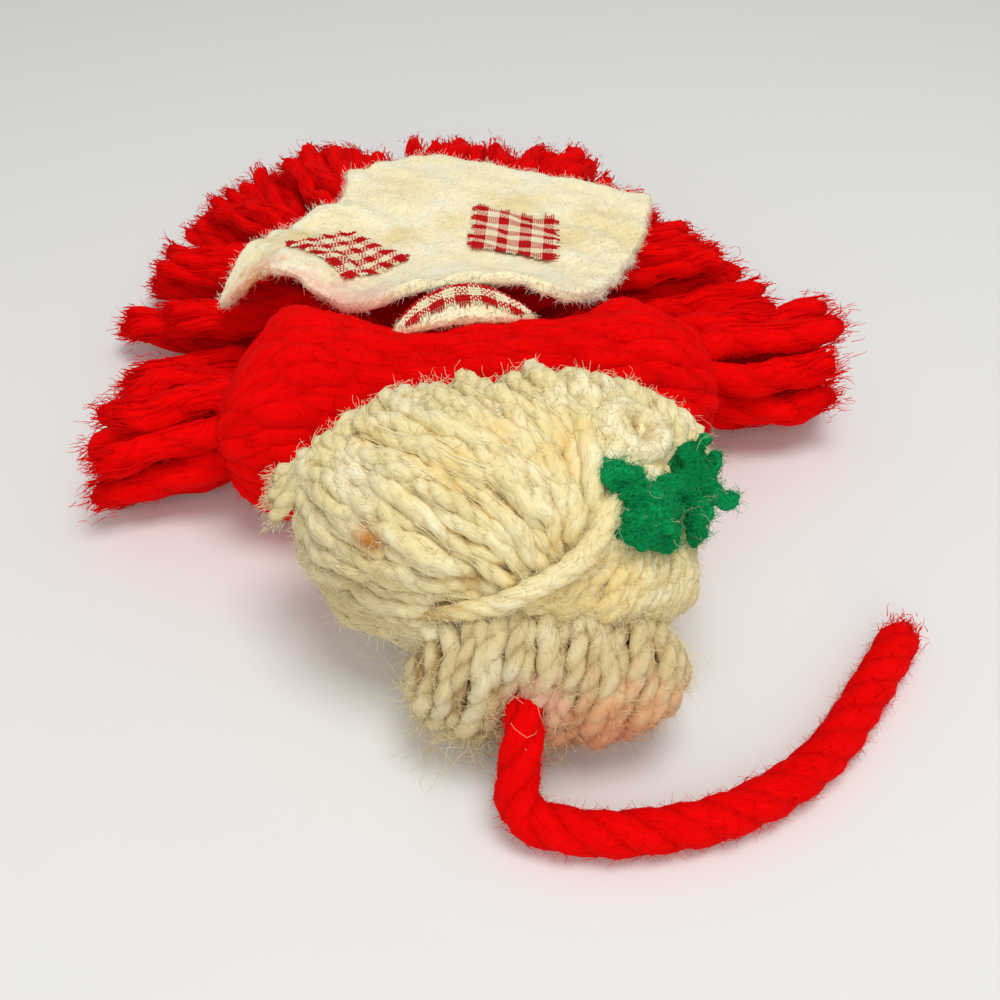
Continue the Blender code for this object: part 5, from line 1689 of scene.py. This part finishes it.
# %% Gingham patches
CHECKS = (0.0031, 0.00246)
THREAD_PITCH = 0.000265
THREAD_RADIUS = 0.000105
THREAD_FRAY = (0.0001, 0.0009)
THREAD_FINISH = {"along": 60, "bump": 0.00002, "glow": 0.0}
THREAD_RED = (0.60, 0.003, 0.003, 1)
THREAD_RED_LIGHT = (0.72, 0.012, 0.008, 1)
THREAD_RED_DEEP = (0.40, 0.001, 0.001, 1)
THREAD_WHITE = (0.96, 0.86, 0.58, 1)
THREAD_WHITE_LIGHT = (0.99, 0.94, 0.74, 1)
THREAD_WHITE_DEEP = (0.88, 0.70, 0.38, 1)
red_thread = yarn_material("red_thread", THREAD_RED, THREAD_RED_LIGHT, THREAD_RED_DEEP, sheen=0.05, **THREAD_FINISH)
white_thread = yarn_material("white_thread", THREAD_WHITE, THREAD_WHITE_LIGHT, THREAD_WHITE_DEEP, **THREAD_FINISH)


def surface_below(name):
    """A way to ask a finished piece how high it is over a place."""
    bm = bmesh.new()
    bm.from_mesh(bpy.data.objects[name].data)
    tree = BVHTree.FromBMesh(bm)
    bm.free()

    def height(x, y):
        hit = tree.ray_cast(Vector((x, y, 0.06)), Vector((0, 0, -1)))[0]
        return None if hit is None else hit.z
    return height


def woven(name, size, centre, turn, under, lift, body, node, chance, skew=0.0, bow=0.0, over=0.0):
    """A square of gingham laid on another piece: two sets of threads and the cloth's ground.

    Skew turns one set of threads a little, as loose cloth does, and bow bends the cloth's ends down.
    Over raises the second set above the first, as a share of a thread's radius.
    """
    height = surface_below(under)
    first = (math.cos(turn), math.sin(turn))
    second = (-math.sin(turn + skew), math.cos(turn + skew))

    def place_of(u, v):
        bent = v - bow * (2 * u / size[0]) ** 2
        return centre[0] + u * first[0] + bent * second[0], centre[1] + u * first[1] + bent * second[1]

    red_lines, white_lines = [], []
    for way in (0, 1):
        length, width = size[way], size[1 - way]
        bands = 2 * int(width / CHECKS[1 - way]) + 1
        count = int(width / THREAD_PITCH)
        for number in range(count):
            across = (number + 0.5) * THREAD_PITCH - width / 2
            fray = chance.uniform(*THREAD_FRAY, 2)
            steps = int((length + fray.sum()) / THREAD_PITCH * 2)
            run = np.linspace(-length / 2 - fray[0], length / 2 + fray[1], steps)
            crossing = np.cos(math.pi * ((run + length / 2) / THREAD_PITCH - 0.5 + number + way))
            points = []
            for s, rise in zip(run, crossing):
                x, y = place_of(s, across) if way == 0 else place_of(across, s)
                z = height(x, y)
                if z is not None:
                    points.append((x, y, z + lift + (rise * 0.5 + over * way) * THREAD_RADIUS))
            if len(points) > 3:
                band = int((across / width + 0.5) * bands)
                (white_lines if band % 2 else red_lines).append((np.array(points), THREAD_RADIUS))
    pieces = [add_piece(f"{name}_{tone}_threads", lines_mesh(f"{name}_{tone}", lines, 0), thread, body, "gingham", node)
              for tone, lines, thread in (("red", red_lines, red_thread), ("white", white_lines, white_thread))]
    bm = bmesh.new()
    bmesh.ops.create_grid(bm, x_segments=16, y_segments=16, size=0.5)
    for vert in list(bm.verts):
        x, y = place_of(vert.co.x * size[0], vert.co.y * size[1])
        z = height(x, y)
        if z is None:
            bm.verts.remove(vert)
        else:
            vert.co = (x, y, z + lift - THREAD_RADIUS)
    return add_piece(name + "_ground", mesh_of(bm, name), white_thread, body, "gingham", node), pieces


# %% [markdown]
# The patches are laid on the apron, each turned as the real one is, the right one pulled askew as
# well, and a strip lies on the bib.

# %% Patches in place
PATCH_RIGHT = (0.0107, 0.0111)
PATCH_LEFT = (0.0100, 0.0100)
BIB_STRIP = (0.0132, 0.0026)
chance = np.random.default_rng(111)
right, right_threads = woven(
    "patch_right", PATCH_RIGHT, middle_of("patch_right"), math.radians(-30), "apron_sheet", 0.0004, "apron",
    "patch_right", chance, skew=math.radians(17), over=0.6,
)
left, left_threads = woven(
    "patch_left", PATCH_LEFT, middle_of("patch_left"), math.radians(42), "apron_sheet", 0.0004, "apron",
    "patch_left", chance,
)
woven("bib_patch", BIB_STRIP, middle_of("bib_patch"), 0.0, "apron_bib_felt", 0.0003, "torso", "bib_patch", chance,
      bow=0.0022)

# %% [markdown]
# The doll lies on a plain pale floor in soft light from above, with a pale world around it.


# %% Floor, light and world
FLOOR_TONE = (0.80, 0.79, 0.77, 1)
LAMPS = (("key", (0.05, -0.08, 0.45), 0.24, 1.08), ("fill", (-0.10, -0.40, 0.25), 0.40, 0.70))
WORLD_LIGHT = 0.40

bm = bmesh.new()
bmesh.ops.create_grid(bm, x_segments=1, y_segments=1, size=2)
floor_mesh = mesh_of(bm, "floor")
floor_mesh.materials.append(new_material("pale_floor", Base_Color=FLOOR_TONE, Roughness=0.9,
                                         Specular_IOR_Level=0.1)[0])
floor = put_in_scene("floor", floor_mesh)

for name, place, size, power in LAMPS:
    lamp_data = bpy.data.lights.new(name, "AREA")
    lamp_data.shape = "DISK"
    lamp_data.size = size
    lamp_data.energy = power
    lamp = put_in_scene(name, lamp_data)
    lamp.location = place
    lamp.rotation_euler = (-Vector(place)).to_track_quat("-Z", "Y").to_euler()
world = bpy.data.worlds.new("soft_world")
world.use_nodes = True
set_inputs(world.node_tree.nodes["Background"], Color=(1, 1, 1, 1), Strength=WORLD_LIGHT)
bpy.context.scene.world = world
bpy.context.scene.view_settings.view_transform = "Standard"
print("lamps:", len(LAMPS))
